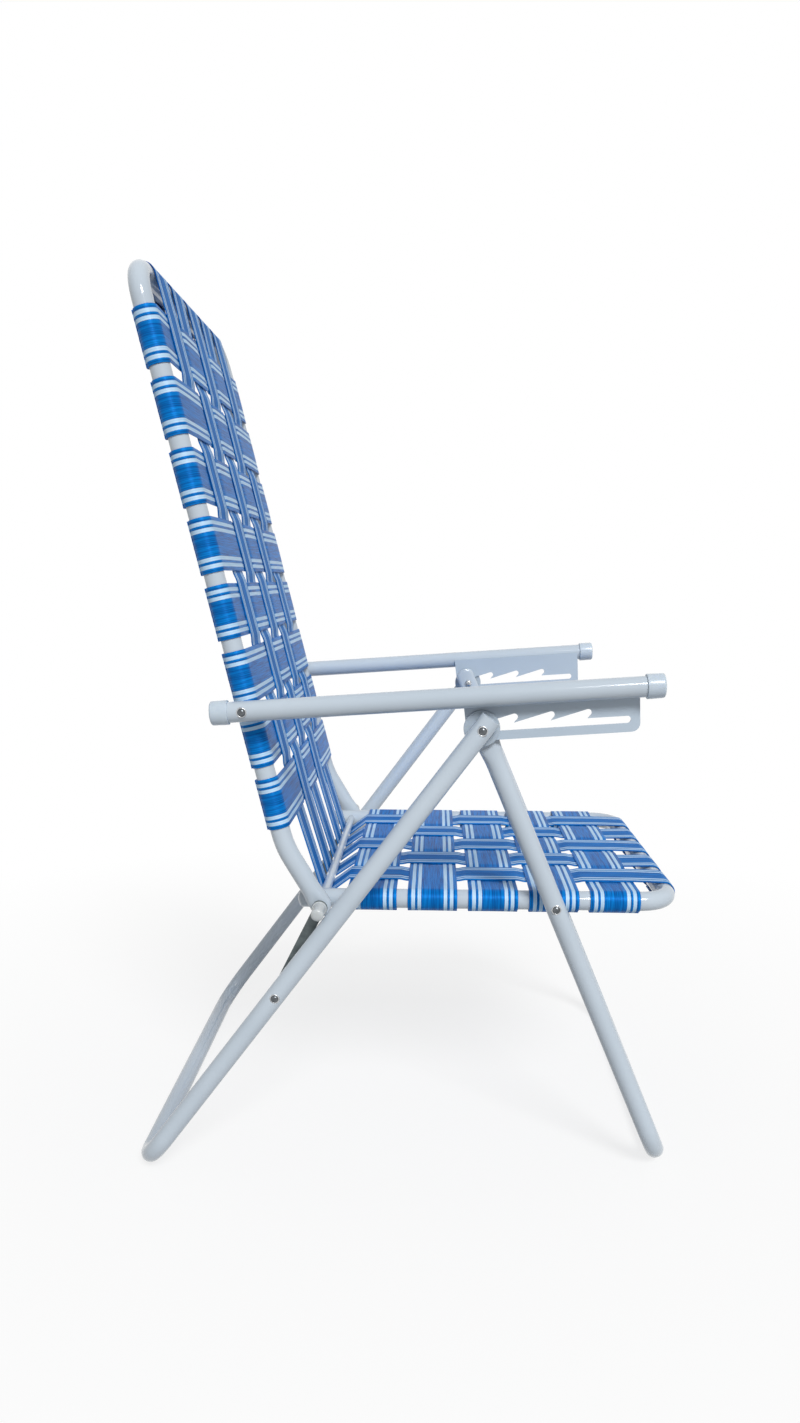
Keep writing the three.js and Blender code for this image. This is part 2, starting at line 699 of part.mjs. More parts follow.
// Arms: straight tubes with capped ends, a rack under each, and a rivet to the back
const arms = frameAt(armPivot, armTurn);
const armFront = pinAlong + armAhead;
const armRear = -armBehind;
const capBore = tubeRadius + clearance;
const cap = turned([
  [capBore, 0],
  [capBore + capWall, 0],
  [capBore + capWall, capLength - capChamfer],
  [capBore + capWall - capChamfer, capLength],
  [0, capLength],
  [0, capLength - capEnd],
  [capBore, capLength - capEnd],
]);
for (const [side, y] of [["left", armHalfWidth], ["right", -armHalfWidth]]) {
  const armPath = new BentPath(
    [
      new THREE.Vector3(armRear + capEnd + clearance, y, 0),
      new THREE.Vector3(armFront - capEnd - clearance, y, 0),
    ],
    [],
    alongZ,
  );
  const armBores = [drill(0, 0, rivetBore), ...headSeats(0, 0, armOuter)];
  piece(arms, `arm_tube_${side}`, cut(tube(armPath), armBores), coat);
  const frontCap = cap.clone().rotateZ(-Math.PI / 2).translate(armFront - capLength, y, 0);
  const rearCap = cap.clone().rotateZ(Math.PI / 2).translate(armRear + capLength, y, 0);
  piece(arms, `arm_front_cap_${side}`, frontCap, plastic);
  piece(arms, `arm_rear_cap_${side}`, rearCap, plastic);
}
platePair(arms, "recline_rack", rackShape(), rackInner, rackOuter, coat);
pair(arms, "arm_rivet", rivet(spacerInner, armOuter - headSeatDepth + clearance, 0), steel);
const spacerThickness = armHalfWidth - tubeRadius - clearance - spacerInner;
pair(arms, "arm_spacer", washer(spacerInner, spacerThickness, spacerRadius, rivetBore), plastic);

export default chair;
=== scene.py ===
"""Looks of a folding lawn chair: coated steel tubes, woven webbing, plastic caps and rivets.

Sizes are millimetres until a mesh is made, and metres in materials, lights and the camera.
+X is forward, +Y is the sitter's left and +Z is up.
"""
import json
import math

import bpy
import numpy as np
from mathutils import Euler, Matrix, Vector


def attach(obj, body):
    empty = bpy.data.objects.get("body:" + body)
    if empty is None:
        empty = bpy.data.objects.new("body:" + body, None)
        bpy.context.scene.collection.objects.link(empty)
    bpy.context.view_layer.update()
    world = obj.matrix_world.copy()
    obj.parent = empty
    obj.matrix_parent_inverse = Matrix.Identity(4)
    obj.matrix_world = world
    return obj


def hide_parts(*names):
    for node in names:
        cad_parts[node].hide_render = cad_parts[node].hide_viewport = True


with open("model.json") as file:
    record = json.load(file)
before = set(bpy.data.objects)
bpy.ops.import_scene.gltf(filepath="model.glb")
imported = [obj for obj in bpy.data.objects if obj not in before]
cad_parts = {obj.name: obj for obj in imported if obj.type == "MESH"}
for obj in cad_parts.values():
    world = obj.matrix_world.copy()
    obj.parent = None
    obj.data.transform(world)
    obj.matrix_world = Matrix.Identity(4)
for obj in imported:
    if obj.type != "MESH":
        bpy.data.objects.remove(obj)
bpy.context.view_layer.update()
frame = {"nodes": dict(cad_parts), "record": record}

# Stock
TUBE_RADIUS = 11.1
TUBE_WALL = 1.3
ROD_RADIUS = 5.55
RIVET_RADIUS = 3.5
WEB_WIDTH = 57.0
WEB_THICKNESS = 1.15
CLEARANCE = 0.3

# Distances from the chair's middle plane, as one line or as an inner and an outer face
SEAT_HALF = 213.0
LEG_HALF = 240.0
REAR_LEG_HALF = 271.0
ARM_HALF = 267.98
SEAT_WASHER = (225.9, 228.6)
INNER_WASHER = (251.4, 254.3)
OUTER_WASHER = (256.9, 259.6)
LINK = (252.9, 255.9)
ARM_SPACER = (249.1, 256.58)
ROD_CAP = (256.2, 283.1)
ROD_END = 274.1

# Side view
FOOT_X = 309.0
FOOT_Z = 10.89
SEAT_FRONT = 306.0
SEAT_REAR = -123.0
BACK_LEAN = math.radians(13.35)
BACK_OFFSET = 23.0
BACK_BEND = math.radians(17)
BACK_LENGTH = 688.0
BACK_NARROWING = 25.0
ARM_JOINT = 233.0
ARM_DROP = 34.6
ARM_BEHIND = 34.4
ARM_AHEAD = 191.0
LINK_JOINT = 378.0

# Bends and tube ends
LEG_BEND = 50.0
SEAT_BEND = 36.0
TOP_BEND = 36.0
LOWER_BEND = 110.0
REAR_LEG_END = 15.0
OPEN_END_DEPTH = 25.0
TANG_END = 22.0
TANG = {"flat": 36.0, "reach": 66.0, "width": 26.0, "thickness": 10.0, "nose": 9.0, "squareness": 2.7}
BACK_END = 12.0
BACK_TIP = {"flat": 18.0, "reach": 36.0, "width": 24.5, "thickness": 19.0, "nose": 12.25, "squareness": 2.6}
SEAT_NOSE = 6.0
# The open ends' rounded rim: (distance from the end, step from the wall's face)
RIM = np.array([(0.45, 0.0), (0.1, 0.15), (0.0, 0.4)])
# The small flat in the middle of a closed tube end and of a turned end, and least values that keep off zero
TUBE_POLE = 0.1
TURNED_POLE = 0.03
NOSE_LEAST = 0.1
NEAR_ZERO = 1e-6

# Arm caps, and rings near the arm tubes' ends that keep their shading even
CAP_WALL = 1.7
CAP_LENGTH = 19.0
CAP_ROUND = 2.6
CAP_DRAFT = 0.3
CAP_CROWN = 0.3
CAP_MOUTH = 0.4
CAP_MOUTH_GAP = 0.1
ARM_INSIDE_CAP = 4.0
ARM_END_RINGS = (0.0, 1.0)

# Rivets and washers
HEAD_RADIUS = 4.8
HEAD_HEIGHT = 2.8
HEAD_SINK = 0.6
TAIL_HEIGHT = 2.0
TAIL_FLAT_SHARE = 0.7
FLANGE_RADIUS = 5.7
FLANGE = 0.9
FLANGE_UNDER_DOME = 0.5
DOME_RADIUS = 4.4
DOME_FOOT = 0.2
BORE_PLAY = 0.06
BORE_LIP = 0.3
WASHER_EDGE = 0.7
SEAT_WASHER_RADIUS = 10.0
INNER_WASHER_RADIUS = 13.0
OUTER_WASHER_RADIUS = 19.5
ARM_SPACER_RADIUS = 8.0

# Rod, links and racks
ROD_EDGE = 0.8
ROD_CAP_RADIUS = 7.2
ROD_CAP_FLANGE = 8.5
ROD_CAP_RIM = 1.5
ROD_CAP_NOSE = 3.4
ROD_CAP_EDGE = 0.5
LINK_HALF = 6.35
LINK_EYE = 8.85
LINK_EDGE = 0.6
RACK_EDGE = 0.45
RACK_WELD = 0.01
RACK_EDGE_ANGLE = math.radians(40)

# Webbing
LONG_PITCH = 74.0
LANES = (1, 2, 3, 4, 5)
BACK_ROWS = (1, 2, 3, 4, 5, 6, 7, 8)
SEAT_ROWS = (1, 2, 3, 4, 5)
BACK_ROW_FIRST = 126.0
BACK_ROW_TO_TOP = 70.0
BACK_ROW_LAST = BACK_LENGTH - BACK_ROW_TO_TOP
SEAT_ROW_FIRST = 56.8
SEAT_PITCH = 69.6
WRAP_RADIUS = TUBE_RADIUS + CLEARANCE + WEB_THICKNESS / 2
ROD_WRAP_RADIUS = ROD_RADIUS + CLEARANCE + WEB_THICKNESS / 2
WEAVE_LIFT = 0.8
CROSSING_MARGIN = 0.8
CROSSING_HALF = WEB_WIDTH / 2 + CROSSING_MARGIN
WEB_CROWN = 0.2
HEM_LAYER = 1.3
HEM_FOLD = math.radians(226)
HEM_BACK = math.radians(172)
HEM_SCREW = math.radians(203)
HEM_OUTSIDE = WRAP_RADIUS + HEM_LAYER + WEB_THICKNESS / 2 + WEB_CROWN
BACK_TAIL = 20.0
TAIL_HEM_END = math.radians(150)
TAIL_SCREW = math.radians(176)
BACK_ROD_END = math.radians(202)
SEAT_ROD_END = math.radians(258)

# Strap screws
# A cross's half widths are those of its floor and of its upper edge. The turn is a direction along which
# no screw points, and it sets how each cross lies.
SCREW_RADIUS = 3.6
SCREW_SHOULDER = 0.97
SCREW_SWELL = 1.02
SCREW_HEIGHT = 1.5
SCREW_FOOT = 0.6
SCREW_POLE = 0.02
SCREW_CROSS_HALF = (0.33, 0.715)
SCREW_CROSS_DEPTH = 0.7
SCREW_CROSS_REACH = 2.1
SCREW_TURN = (0.31, 0.17, 0.93)

# Fineness of the surfaces: sides of a ring, and points along a curve
TUBE_SIDES = 48
LATHE_SIDES = 48
SCREW_SIDES = 32
BEND_STEP = math.radians(3)
CORNER_SHARE = 0.49
EDGE_POINTS = 5
CAP_POINTS = 7
NOSE_POINTS = 9
TANG_STEP = 4.0
TANG_POINTS = 14
BACK_TIP_STEP = 3.0
BACK_TIP_POINTS = 8
FLANGE_POINTS = 9
DOME_POINTS = 12
ROD_NOSE_POINTS = 10
LINK_EYE_POINTS = 40
LINK_TIP_POINTS = 28
RACK_EDGE_STEPS = 3
WEB_SIDE_POINTS = 21
WEB_EDGE_POINTS = 7
WRAP_POINTS = 54
FOLD_POINTS = 9
HEM_POINTS = 14
TOP_BAR_POINTS = 46
TAIL_POINTS = 12
TAIL_HEM_POINTS = 10
CROSSING_POINTS = 7
BETWEEN_POINTS = 9
BACK_FOOT_POINTS = 8
SEAT_FOOT_POINTS = 14
SCREW_POINTS = 13

# The photograph's camera
CAMERA_PLACE = (0.0328, -1.385, 0.6896)
CAMERA_PITCH = math.radians(14.6)
CAMERA_YAW = math.radians(1.86)
CAMERA_ROLL = math.radians(0.17)
CAMERA_LENS = 26.79
CAMERA_SENSOR = 36.0
CAMERA_SHIFT_UP = 0.1001

# Finishes
# A grain is a noise's (scale, detail). Colour ends are the noise values of the dark and the light colour.
# Gloss is the roughness at its smoothest and at its dullest.
COAT_FINISH = {
    "colour_grain": (9, 3), "colour_ends": (0.3, 0.7),
    "gloss_grain": (30, 3), "gloss": (0.09, 0.16),
    "relief_grain": (750, 1), "relief_depth": 0.00006, "relief_strength": 0.35,
}
PLASTIC_FINISH = {
    "colour_grain": (60, 3), "colour_ends": (0.3, 0.7),
    "gloss_grain": (120, 3), "gloss": (0.18, 0.28),
    "relief_grain": (420, 2), "relief_depth": 0.00008, "relief_strength": 0.3,
}
STEEL_FINISH = {
    "colour_grain": (220, 3), "colour_ends": (0.3, 0.7),
    "gloss_grain": (500, 4), "gloss": (0.16, 0.4),
    "relief_grain": (1500, 2), "relief_depth": 0.00006, "relief_strength": 0.3,
}
BAR_FINISH = {
    "colour_grain": (90, 4), "colour_ends": (0.3, 0.75),
    "gloss_grain": (260, 3), "gloss": (0.35, 0.6),
    "relief_grain": (900, 2), "relief_depth": 0.0001, "relief_strength": 0.4,
}
SCUFF_GREY = (0.36, 0.36, 0.36, 1.0)
SCUFF_HEIGHT = 0.006
SCUFF_MOST = 0.7
SCUFF_GRAIN = (160, 4)
SCUFF_ENDS = (0.45, 0.6)
PLASTIC_GLOW = 0.12
PLASTIC_GLOW_REACH = (0.004, 0.004, 0.003)

# Finish of the webbing
# Stripe edges and their blur are millimetres from one side; yarns, picks and relief are metres.
# The metallic pair is for the blue and the white, and the streaks are squeezed to run along the strap.
WEB_BLUE = (0.003, 0.215, 0.66)
WEB_BLUE_DARK = (0.002, 0.07, 0.29)
WEB_BLUE_ENDS = (0.38, 0.6)
WEB_WHITE = (0.59, 0.77, 0.94)
WEB_WHITE_DARK = (0.36, 0.60, 0.86)
WEB_WHITE_ENDS = (0.34, 0.62)
STRIPE_EDGES = (4.5, 8.5, 11.5, 15.5, 41.5, 45.5, 48.5, 52.5)
STRIPE_BLUR = 0.35
STRIPE_RAGGED = 0.0001
YARN = 0.0011
PICK = 0.0014
STREAK_SQUEEZE = (1.0, 0.03, 1.0)
STREAK_FINE_GRAIN = (900, 3)
STREAK_BROAD_GRAIN = (260, 2)
STREAK_FINE_SHARE = 0.6
STREAK_BROAD_SHARE = 0.4
WEB_METALLIC = (0.16, 0.04)
WEB_GLOSS = (0.38, 0.5)
WEAVE_HEIGHT = (0.5, 1.0)
WEAVE_DEPTH = 0.00018
WEAVE_STRENGTH = 0.5

# Floor and light
FLOOR_HALF = 6.0
FLOOR_DROP = 0.0004
FLOOR_REFLECTS = 0.5
FLOOR_GRAIN = (300, 2)
FLOOR_GRAIN_DEPTH = 0.02
FLOOR_SEEN = 0.95
FLOOR_FADE = (0.3, 1.4)
FLOOR_WHITE_NEAR = 0.78
KEY_FROM = (0.28, -0.72, 0.66)
KEY_LEVEL = 2.45
KEY_WIDTH = math.radians(20)
ROOM_BRIGHT_SIDE = (0.1, -0.62, 0.78)
ROOM_DARK = 0.1
ROOM_BRIGHT = 0.35
PLAIN_WHITE = (1, 1, 1, 1)

# Directions, and the chair's two sides
FORWARD = (1, 0, 0)
UP = (0, 0, 1)
MIRROR = np.array([1.0, -1.0, 1.0])
SIDES = (("left", np.ones(3)), ("right", MIRROR))

# Pivots in the side view, from the joints of the frame
joints = frame["record"]["behaviour"]["joints"]
joint_at = {joint["name"]: np.array(joint["pos_m"]) * 1000 for joint in joints if "pos_m" in joint}
leg_pivot = joint_at["fold"][[0, 2]]
seat_pivot = joint_at["seat_fold"][[0, 2]]
rod = joint_at["recline"][[0, 2]]
seat_height = rod[1]
front_foot = np.array([FOOT_X, FOOT_Z])
rear_foot = np.array([-FOOT_X, FOOT_Z])
back_bend = BACK_OFFSET / math.tan(BACK_BEND)
back_slope = BACK_NARROWING / (BACK_LENGTH - back_bend)


def back_half(z):
    """Half the width between the back's tubes, which come closer together above their lower bends."""
    return LEG_HALF - back_slope * (z - back_bend)


def leg_turn(foot):
    """The turn that puts a leg's local downward axis on the line from the leg pivot to its foot."""
    run = leg_pivot - foot
    return math.atan2(run[0], run[1])


def placed(points, pivot, turn):
    """Local (x, y, z) turned about Y by `turn` and moved to `pivot` in the side view."""
    x, y, z = np.moveaxis(np.asarray(points, float), -1, 0)
    cos, sin = math.cos(turn), math.sin(turn)
    return np.stack([pivot[0] + cos * x + sin * z, y, pivot[1] - sin * x + cos * z], -1)


def on_middle_plane(point):
    """A point of the side view as (x, 0, z)."""
    return np.array([point[0], 0, point[1]])


front_leg_turn = leg_turn(front_foot)
rear_leg_turn = leg_turn(rear_foot)
front_leg_length = np.linalg.norm(leg_pivot - front_foot)
rear_leg_length = np.linalg.norm(leg_pivot - rear_foot)
link_pivot = placed((0, 0, -LINK_JOINT), leg_pivot, rear_leg_turn)[[0, 2]]
arm_pivot = placed((-BACK_OFFSET, 0, ARM_JOINT), rod, -BACK_LEAN)[[0, 2]]
arm_to_pin = leg_pivot - arm_pivot
pin_along = math.sqrt(arm_to_pin @ arm_to_pin - ARM_DROP**2)
arm_turn = -math.atan2(arm_to_pin[1], arm_to_pin[0]) - math.asin(ARM_DROP / np.linalg.norm(arm_to_pin))

# Camera
camera_data = bpy.data.cameras.new("camera")
camera_data.lens = CAMERA_LENS
camera_data.sensor_width = CAMERA_SENSOR
camera_data.shift_y = CAMERA_SHIFT_UP
camera = bpy.data.objects.new("camera", camera_data)
bpy.context.scene.collection.objects.link(camera)
aim = Euler((math.pi / 2 - CAMERA_PITCH, 0, CAMERA_YAW)).to_matrix() @ Matrix.Rotation(CAMERA_ROLL, 3, "Z")
camera.matrix_world = Matrix.Translation(CAMERA_PLACE) @ aim.to_4x4()
bpy.context.scene.camera = camera


# Materials
def new_finish(name, **sockets):
    """A material with a Principled shader whose given sockets are set.

    Returns the material, its nodes and the shader.
    """
    material = bpy.data.materials.new(name)
    material.use_nodes = True
    shader = material.node_tree.nodes["Principled BSDF"]
    for socket, value in sockets.items():
        shader.inputs[socket.replace("_", " ")].default_value = value
    return material, material.node_tree, shader


def add(tree, kind, inputs=(), **settings):
    """A node with its settings, and its inputs set to numbers or linked from other nodes' outputs."""
    node = tree.nodes.new(kind)
    for key, value in settings.items():
        setattr(node, key, value)
    for key, value in dict(inputs).items():
        if isinstance(value, bpy.types.NodeSocket):
            tree.links.new(value, node.inputs[key])
        else:
            node.inputs[key].default_value = value
    return node


def math_node(tree, operation, first, second=0.0):
    """One sum on one or two values."""
    return add(tree, "ShaderNodeMath", {0: first, 1: second}, operation=operation).outputs[0]


def noise(tree, place, scale, detail):
    """A cloudy value from 0 to 1 at each place."""
    inputs = {"Vector": place, "Scale": scale, "Detail": detail}
    return add(tree, "ShaderNodeTexNoise", inputs).outputs["Fac"]


def ramp(tree, factor, stops):
    """A colour ramp through (position, colour) stops."""
    node = add(tree, "ShaderNodeValToRGB", {"Fac": factor})
    elements = node.color_ramp.elements
    while len(elements) < len(stops):
        elements.new(0.5)
    for element, (position, colour) in zip(elements, stops):
        element.position = position
        element.color = (*colour, 1.0)
    return node.outputs["Color"]


def spread(tree, value, low, high, start=0.0, end=1.0):
    """A value from start to end mapped to low to high, and held there past both."""
    inputs = {"Value": value, "From Min": start, "From Max": end, "To Min": low, "To Max": high}
    return add(tree, "ShaderNodeMapRange", inputs).outputs["Result"]


def mixed_colour(tree, factor, first, second):
    """The first colour where the factor is 0, and the second where it is 1."""
    inputs = {"Factor": factor, "A": first, "B": second}
    return add(tree, "ShaderNodeMix", inputs, data_type="RGBA").outputs["Result"]


def relief(tree, shader, height, depth, strength):
    """Bump from a height of 0 to 1, `depth` metres deep."""
    node = add(tree, "ShaderNodeBump", {"Height": height, "Distance": depth, "Strength": strength})
    tree.links.new(node.outputs["Normal"], shader.inputs["Normal"])


def object_place(tree):
    """The place on the chair, in metres."""
    return add(tree, "ShaderNodeTexCoord").outputs["Object"]


def mottled(tree, shader, place, finish, dark, light):
    """Gloss and relief by noises of the finish's grains; returns a colour from dark to light by another."""
    gloss = spread(tree, noise(tree, place, *finish["gloss_grain"]), *finish["gloss"])
    tree.links.new(gloss, shader.inputs["Roughness"])
    bumps = noise(tree, place, *finish["relief_grain"])
    relief(tree, shader, bumps, finish["relief_depth"], finish["relief_strength"])
    stops = list(zip(finish["colour_ends"], (dark, light)))
    return ramp(tree, noise(tree, place, *finish["colour_grain"]), stops)


def coated_steel(name, dark, light):
    """Powder coat: a fine orange-peel relief, cloudy gloss, and grey scuffs where the bars touch the ground.

    The scuffs grow from none at SCUFF_HEIGHT to their most at the floor, times a noise that breaks them up.
    """
    material, tree, shader = new_finish(name, Specular_IOR_Level=0.42, Coat_Weight=0.1, Coat_Roughness=0.1)
    place = object_place(tree)
    colour = mottled(tree, shader, place, COAT_FINISH, dark, light)
    height = add(tree, "ShaderNodeSeparateXYZ", {0: place}).outputs["Z"]
    low = spread(tree, height, 0.0, SCUFF_MOST, SCUFF_HEIGHT, 0.0)
    scratches = spread(tree, noise(tree, place, *SCUFF_GRAIN), 0.0, 1.0, *SCUFF_ENDS)
    worn = math_node(tree, "MULTIPLY", low, scratches)
    tree.links.new(mixed_colour(tree, worn, colour, SCUFF_GREY), shader.inputs["Base Color"])
    return material


def moulded_plastic(name, dark, light):
    """Glossy plastic that lets a little light in, with faint flow marks."""
    glow = {"Subsurface_Weight": PLASTIC_GLOW, "Subsurface_Radius": PLASTIC_GLOW_REACH}
    material, tree, shader = new_finish(name, IOR=1.46, Subsurface_Scale=1.0, **glow)
    colour = mottled(tree, shader, object_place(tree), PLASTIC_FINISH, dark, light)
    tree.links.new(colour, shader.inputs["Base Color"])
    return material


def metal(name, metallic, finish, dark, light):
    """Metal with a mottled colour, cloudy gloss and fine marks."""
    material, tree, shader = new_finish(name, Metallic=metallic)
    colour = mottled(tree, shader, object_place(tree), finish, dark, light)
    tree.links.new(colour, shader.inputs["Base Color"])
    return material


def stripe_stops():
    """Ramp stops that change between 0 and 1 at each stripe edge, over the width of the blur."""
    stops = [(0.0, (0.0, 0.0, 0.0))]
    shade = 0.0
    for edge in STRIPE_EDGES:
        stops.append(((edge - STRIPE_BLUR / 2) / WEB_WIDTH, (shade,) * 3))
        shade = 1.0 - shade
        stops.append(((edge + STRIPE_BLUR / 2) / WEB_WIDTH, (shade,) * 3))
    return stops


def striped_webbing():
    """Woven plastic webbing: white stripes along it, yarns and picks, and streaks of shade.

    The UV map gives metres across and along. The stripes go by the distance across, a little ragged with the
    picks. Relief is the sine across times the sine along where that is above 0, as in a plain weave.
    """
    material, tree, shader = new_finish("striped_webbing", Specular_IOR_Level=0.05, Anisotropic=0.6)
    web_map = add(tree, "ShaderNodeUVMap", uv_map="UVMap").outputs["UV"]
    parts = add(tree, "ShaderNodeSeparateXYZ", {0: web_map})
    across, along = parts.outputs["X"], parts.outputs["Y"]
    yarn = math_node(tree, "SINE", math_node(tree, "MULTIPLY", across, 2 * math.pi / YARN))
    pick = math_node(tree, "SINE", math_node(tree, "MULTIPLY", along, 2 * math.pi / PICK))
    weave = math_node(tree, "MULTIPLY", yarn, pick)
    relief(tree, shader, spread(tree, weave, *WEAVE_HEIGHT), WEAVE_DEPTH, WEAVE_STRENGTH)
    ragged = math_node(tree, "MULTIPLY", pick, STRIPE_RAGGED)
    share = math_node(tree, "DIVIDE", math_node(tree, "ADD", across, ragged), WEB_WIDTH / 1000)
    stripes = ramp(tree, math_node(tree, "ADD", share, 0.5), stripe_stops())
    squeezed = add(tree, "ShaderNodeMapping", {"Vector": web_map, "Scale": STREAK_SQUEEZE}).outputs["Vector"]
    fine = math_node(tree, "MULTIPLY", noise(tree, squeezed, *STREAK_FINE_GRAIN), STREAK_FINE_SHARE)
    broad = math_node(tree, "MULTIPLY", noise(tree, squeezed, *STREAK_BROAD_GRAIN), STREAK_BROAD_SHARE)
    streak = math_node(tree, "ADD", fine, broad)
    blue = ramp(tree, streak, list(zip(WEB_BLUE_ENDS, (WEB_BLUE_DARK, WEB_BLUE))))
    white = ramp(tree, streak, list(zip(WEB_WHITE_ENDS, (WEB_WHITE_DARK, WEB_WHITE))))
    tree.links.new(mixed_colour(tree, stripes, blue, white), shader.inputs["Base Color"])
    tree.links.new(spread(tree, stripes, *WEB_METALLIC), shader.inputs["Metallic"])
    tree.links.new(spread(tree, streak, *WEB_GLOSS), shader.inputs["Roughness"])
    tangent = add(tree, "ShaderNodeTangent", direction_type="UV_MAP", uv_map="UVMap")
    tree.links.new(tangent.outputs["Tangent"], shader.inputs["Tangent"])
    return material


COAT = coated_steel("white_powder_coat", (0.50, 0.575, 0.65), (0.54, 0.615, 0.69))
# The racks' coat: bluer than the frame's, and darker as painted shade from the arms above them.
RACK_TONE_AND_PAINTED_SHADE = coated_steel("rack_powder_coat", (0.46, 0.55, 0.645), (0.50, 0.59, 0.685))
PLASTIC = moulded_plastic("white_plastic", (0.51, 0.60, 0.69), (0.56, 0.645, 0.73))
ROD_PLASTIC = moulded_plastic("neutral_white_plastic", (0.50, 0.535, 0.55), (0.55, 0.585, 0.60))
WASHER = moulded_plastic("grey_white_plastic", (0.40, 0.475, 0.55), (0.45, 0.525, 0.60))
STEEL = metal("bright_steel", 1.0, STEEL_FINISH, (0.42, 0.435, 0.45), (0.62, 0.635, 0.65))
# Painted dark reflection: the rivet domes are the flanges' steel, coloured dark.
DOME_PAINTED_DARK_REFLECTION = metal("dull_steel", 1.0, STEEL_FINISH, (0.09, 0.10, 0.11), (0.17, 0.18, 0.19))
# Painted shade: the links are coloured dark grey for the shade that they sit in.
LINK_PAINTED_SHADE = metal("dark_flat_bar", 0.55, BAR_FINISH, (0.085, 0.105, 0.11), (0.165, 0.195, 0.2))
WEBBING = striped_webbing()


# Meshes
def quads(rows, columns, first, looped):
    """Corner numbers of a grid's faces, closed round its columns, and of its two ends unless it is looped."""
    row, column = np.meshgrid(np.arange(rows if looped else rows - 1), np.arange(columns), indexing="ij")
    after = (column + 1) % columns
    this_row = row * columns
    next_row = (row + 1) % rows * columns
    corners = np.stack([this_row + column, this_row + after, next_row + after, next_row + column], -1)
    ends = [np.arange(columns)[::-1] + first, np.arange(columns) + (rows - 1) * columns + first]
    return (corners.reshape(-1, 4) + first).tolist(), [] if looped else [end.tolist() for end in ends]


def encloses(grid):
    """Six times the volume inside a grid, as a sum of triple products: negative when it is inside out."""
    after = np.roll(grid, -1, axis=1)
    middle = grid.reshape(-1, 3).mean(0)
    a, b, c, d = (corner - middle for corner in (grid[:-1], after[:-1], after[1:], grid[1:]))
    return sum(np.einsum("ijk,ijk->", np.cross(p, q), r) for p, q, r in ((a, b, c), (a, c, d)))


def make_piece(name, grids, material, body, stands_for=(), maps=None):
    """A mesh of closed grids in millimetres, riding on a body, in place of the nodes that it stands for.

    A grid whose last row repeats its first is a ring with a bore. Sides are smooth and end faces flat.
    """
    points, faces, smooth, uvs = [], [], [], []
    first = 0
    for number, grid in enumerate(grids):
        plan = None if maps is None else maps[number]
        if encloses(grid) < 0:
            grid = grid[:, ::-1]
            plan = None if plan is None else plan[:, ::-1]
        looped = np.allclose(grid[0], grid[-1])
        if looped:
            grid = grid[:-1]
        sides, ends = quads(*grid.shape[:2], first, looped)
        faces += sides + ends
        smooth += [True] * len(sides) + [False] * len(ends)
        points.append(grid.reshape(-1, 3))
        if plan is not None:
            uvs.append(plan.reshape(-1, 2))
        first += grid.shape[0] * grid.shape[1]
    mesh = bpy.data.meshes.new(name)
    mesh.from_pydata((np.concatenate(points) / 1000).tolist(), [], faces)
    mesh.polygons.foreach_set("use_smooth", smooth)
    if uvs:
        corner = np.empty(len(mesh.loops), np.int32)
        mesh.loops.foreach_get("vertex_index", corner)
        mesh.uv_layers.new(name="UVMap").data.foreach_set("uv", (np.concatenate(uvs)[corner] / 1000).ravel())
    mesh.materials.append(material)
    mesh.update()
    piece = bpy.data.objects.new(name, mesh)
    bpy.context.scene.collection.objects.link(piece)
    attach(piece, body)
    if stands_for:
        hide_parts(*stands_for)
    return piece


def smooth_step(value, low, high):
    """A share that rises from 0 at low to 1 at high: three times its square less twice its cube."""
    share = np.clip((value - low) / (high - low), 0, 1)
    return share * share * (3 - 2 * share)


def arc(angle):
    """Points (cosine, sine) of a unit circle at each angle."""
    return np.stack([np.cos(angle), np.sin(angle)], -1)


def turned_about(axis, angle, vector):
    """A vector turned about a unit axis by each of several angles, by Rodrigues' formula: a row for each."""
    angle = np.asarray(angle)[:, None]
    along = axis * (axis @ vector)
    return along + (vector - along) * np.cos(angle) + np.cross(axis, vector) * np.sin(angle)


def bent_route(corners, radii, normal, starts=(), ends=()):
    """Stations of a bent tube: straight runs, each corner an arc that touches both, and a carried normal.

    `starts` and `ends` are distances of stations from either end. Returns points, tangents and normals.
    """
    corners = np.asarray(corners, float)
    runs = np.diff(corners, axis=0)
    runs /= np.linalg.norm(runs, axis=1)[:, None]
    normal = np.asarray(normal, float)
    points = [corners[0] + np.outer(starts, runs[0])] if len(starts) else [corners[:1]]
    tangents = [np.tile(runs[0], (len(points[0]), 1))]
    normals = [np.tile(normal, (len(points[0]), 1))]
    for corner, before, after, radius in zip(corners[1:-1], runs[:-1], runs[1:], radii):
        turn = math.acos(np.clip(before @ after, -1, 1))
        axis = np.cross(before, after) / math.sin(turn)
        start = corner - before * radius * math.tan(turn / 2)
        centre = start + np.cross(axis, before) * radius
        angle = np.linspace(0, turn, max(3, math.ceil(turn / BEND_STEP)))
        points.append(centre + turned_about(axis, angle, start - centre))
        tangents.append(turned_about(axis, angle, before))
        normals.append(turned_about(axis, angle, normal))
        normal = normals[-1][-1]
    tail = corners[-1] - np.outer(ends, runs[-1]) if len(ends) else corners[-1:]
    points.append(tail)
    tangents.append(np.tile(runs[-1], (len(tail), 1)))
    normals.append(np.tile(normal, (len(tail), 1)))
    return np.concatenate(points), np.concatenate(tangents), np.concatenate(normals)


def round_section(route, radius):
    """A circle carried along a route: station + radius * (cosine * normal + sine * binormal)."""
    points, tangents, normals = route
    binormals = np.cross(tangents, normals)
    angle = np.arange(TUBE_SIDES) * 2 * math.pi / TUBE_SIDES
    cosine, sine = np.cos(angle)[None, :, None], np.sin(angle)[None, :, None]
    circle = cosine * normals[:, None] + sine * binormals[:, None]
    return points[:, None] + np.broadcast_to(radius, len(points))[:, None, None] * circle


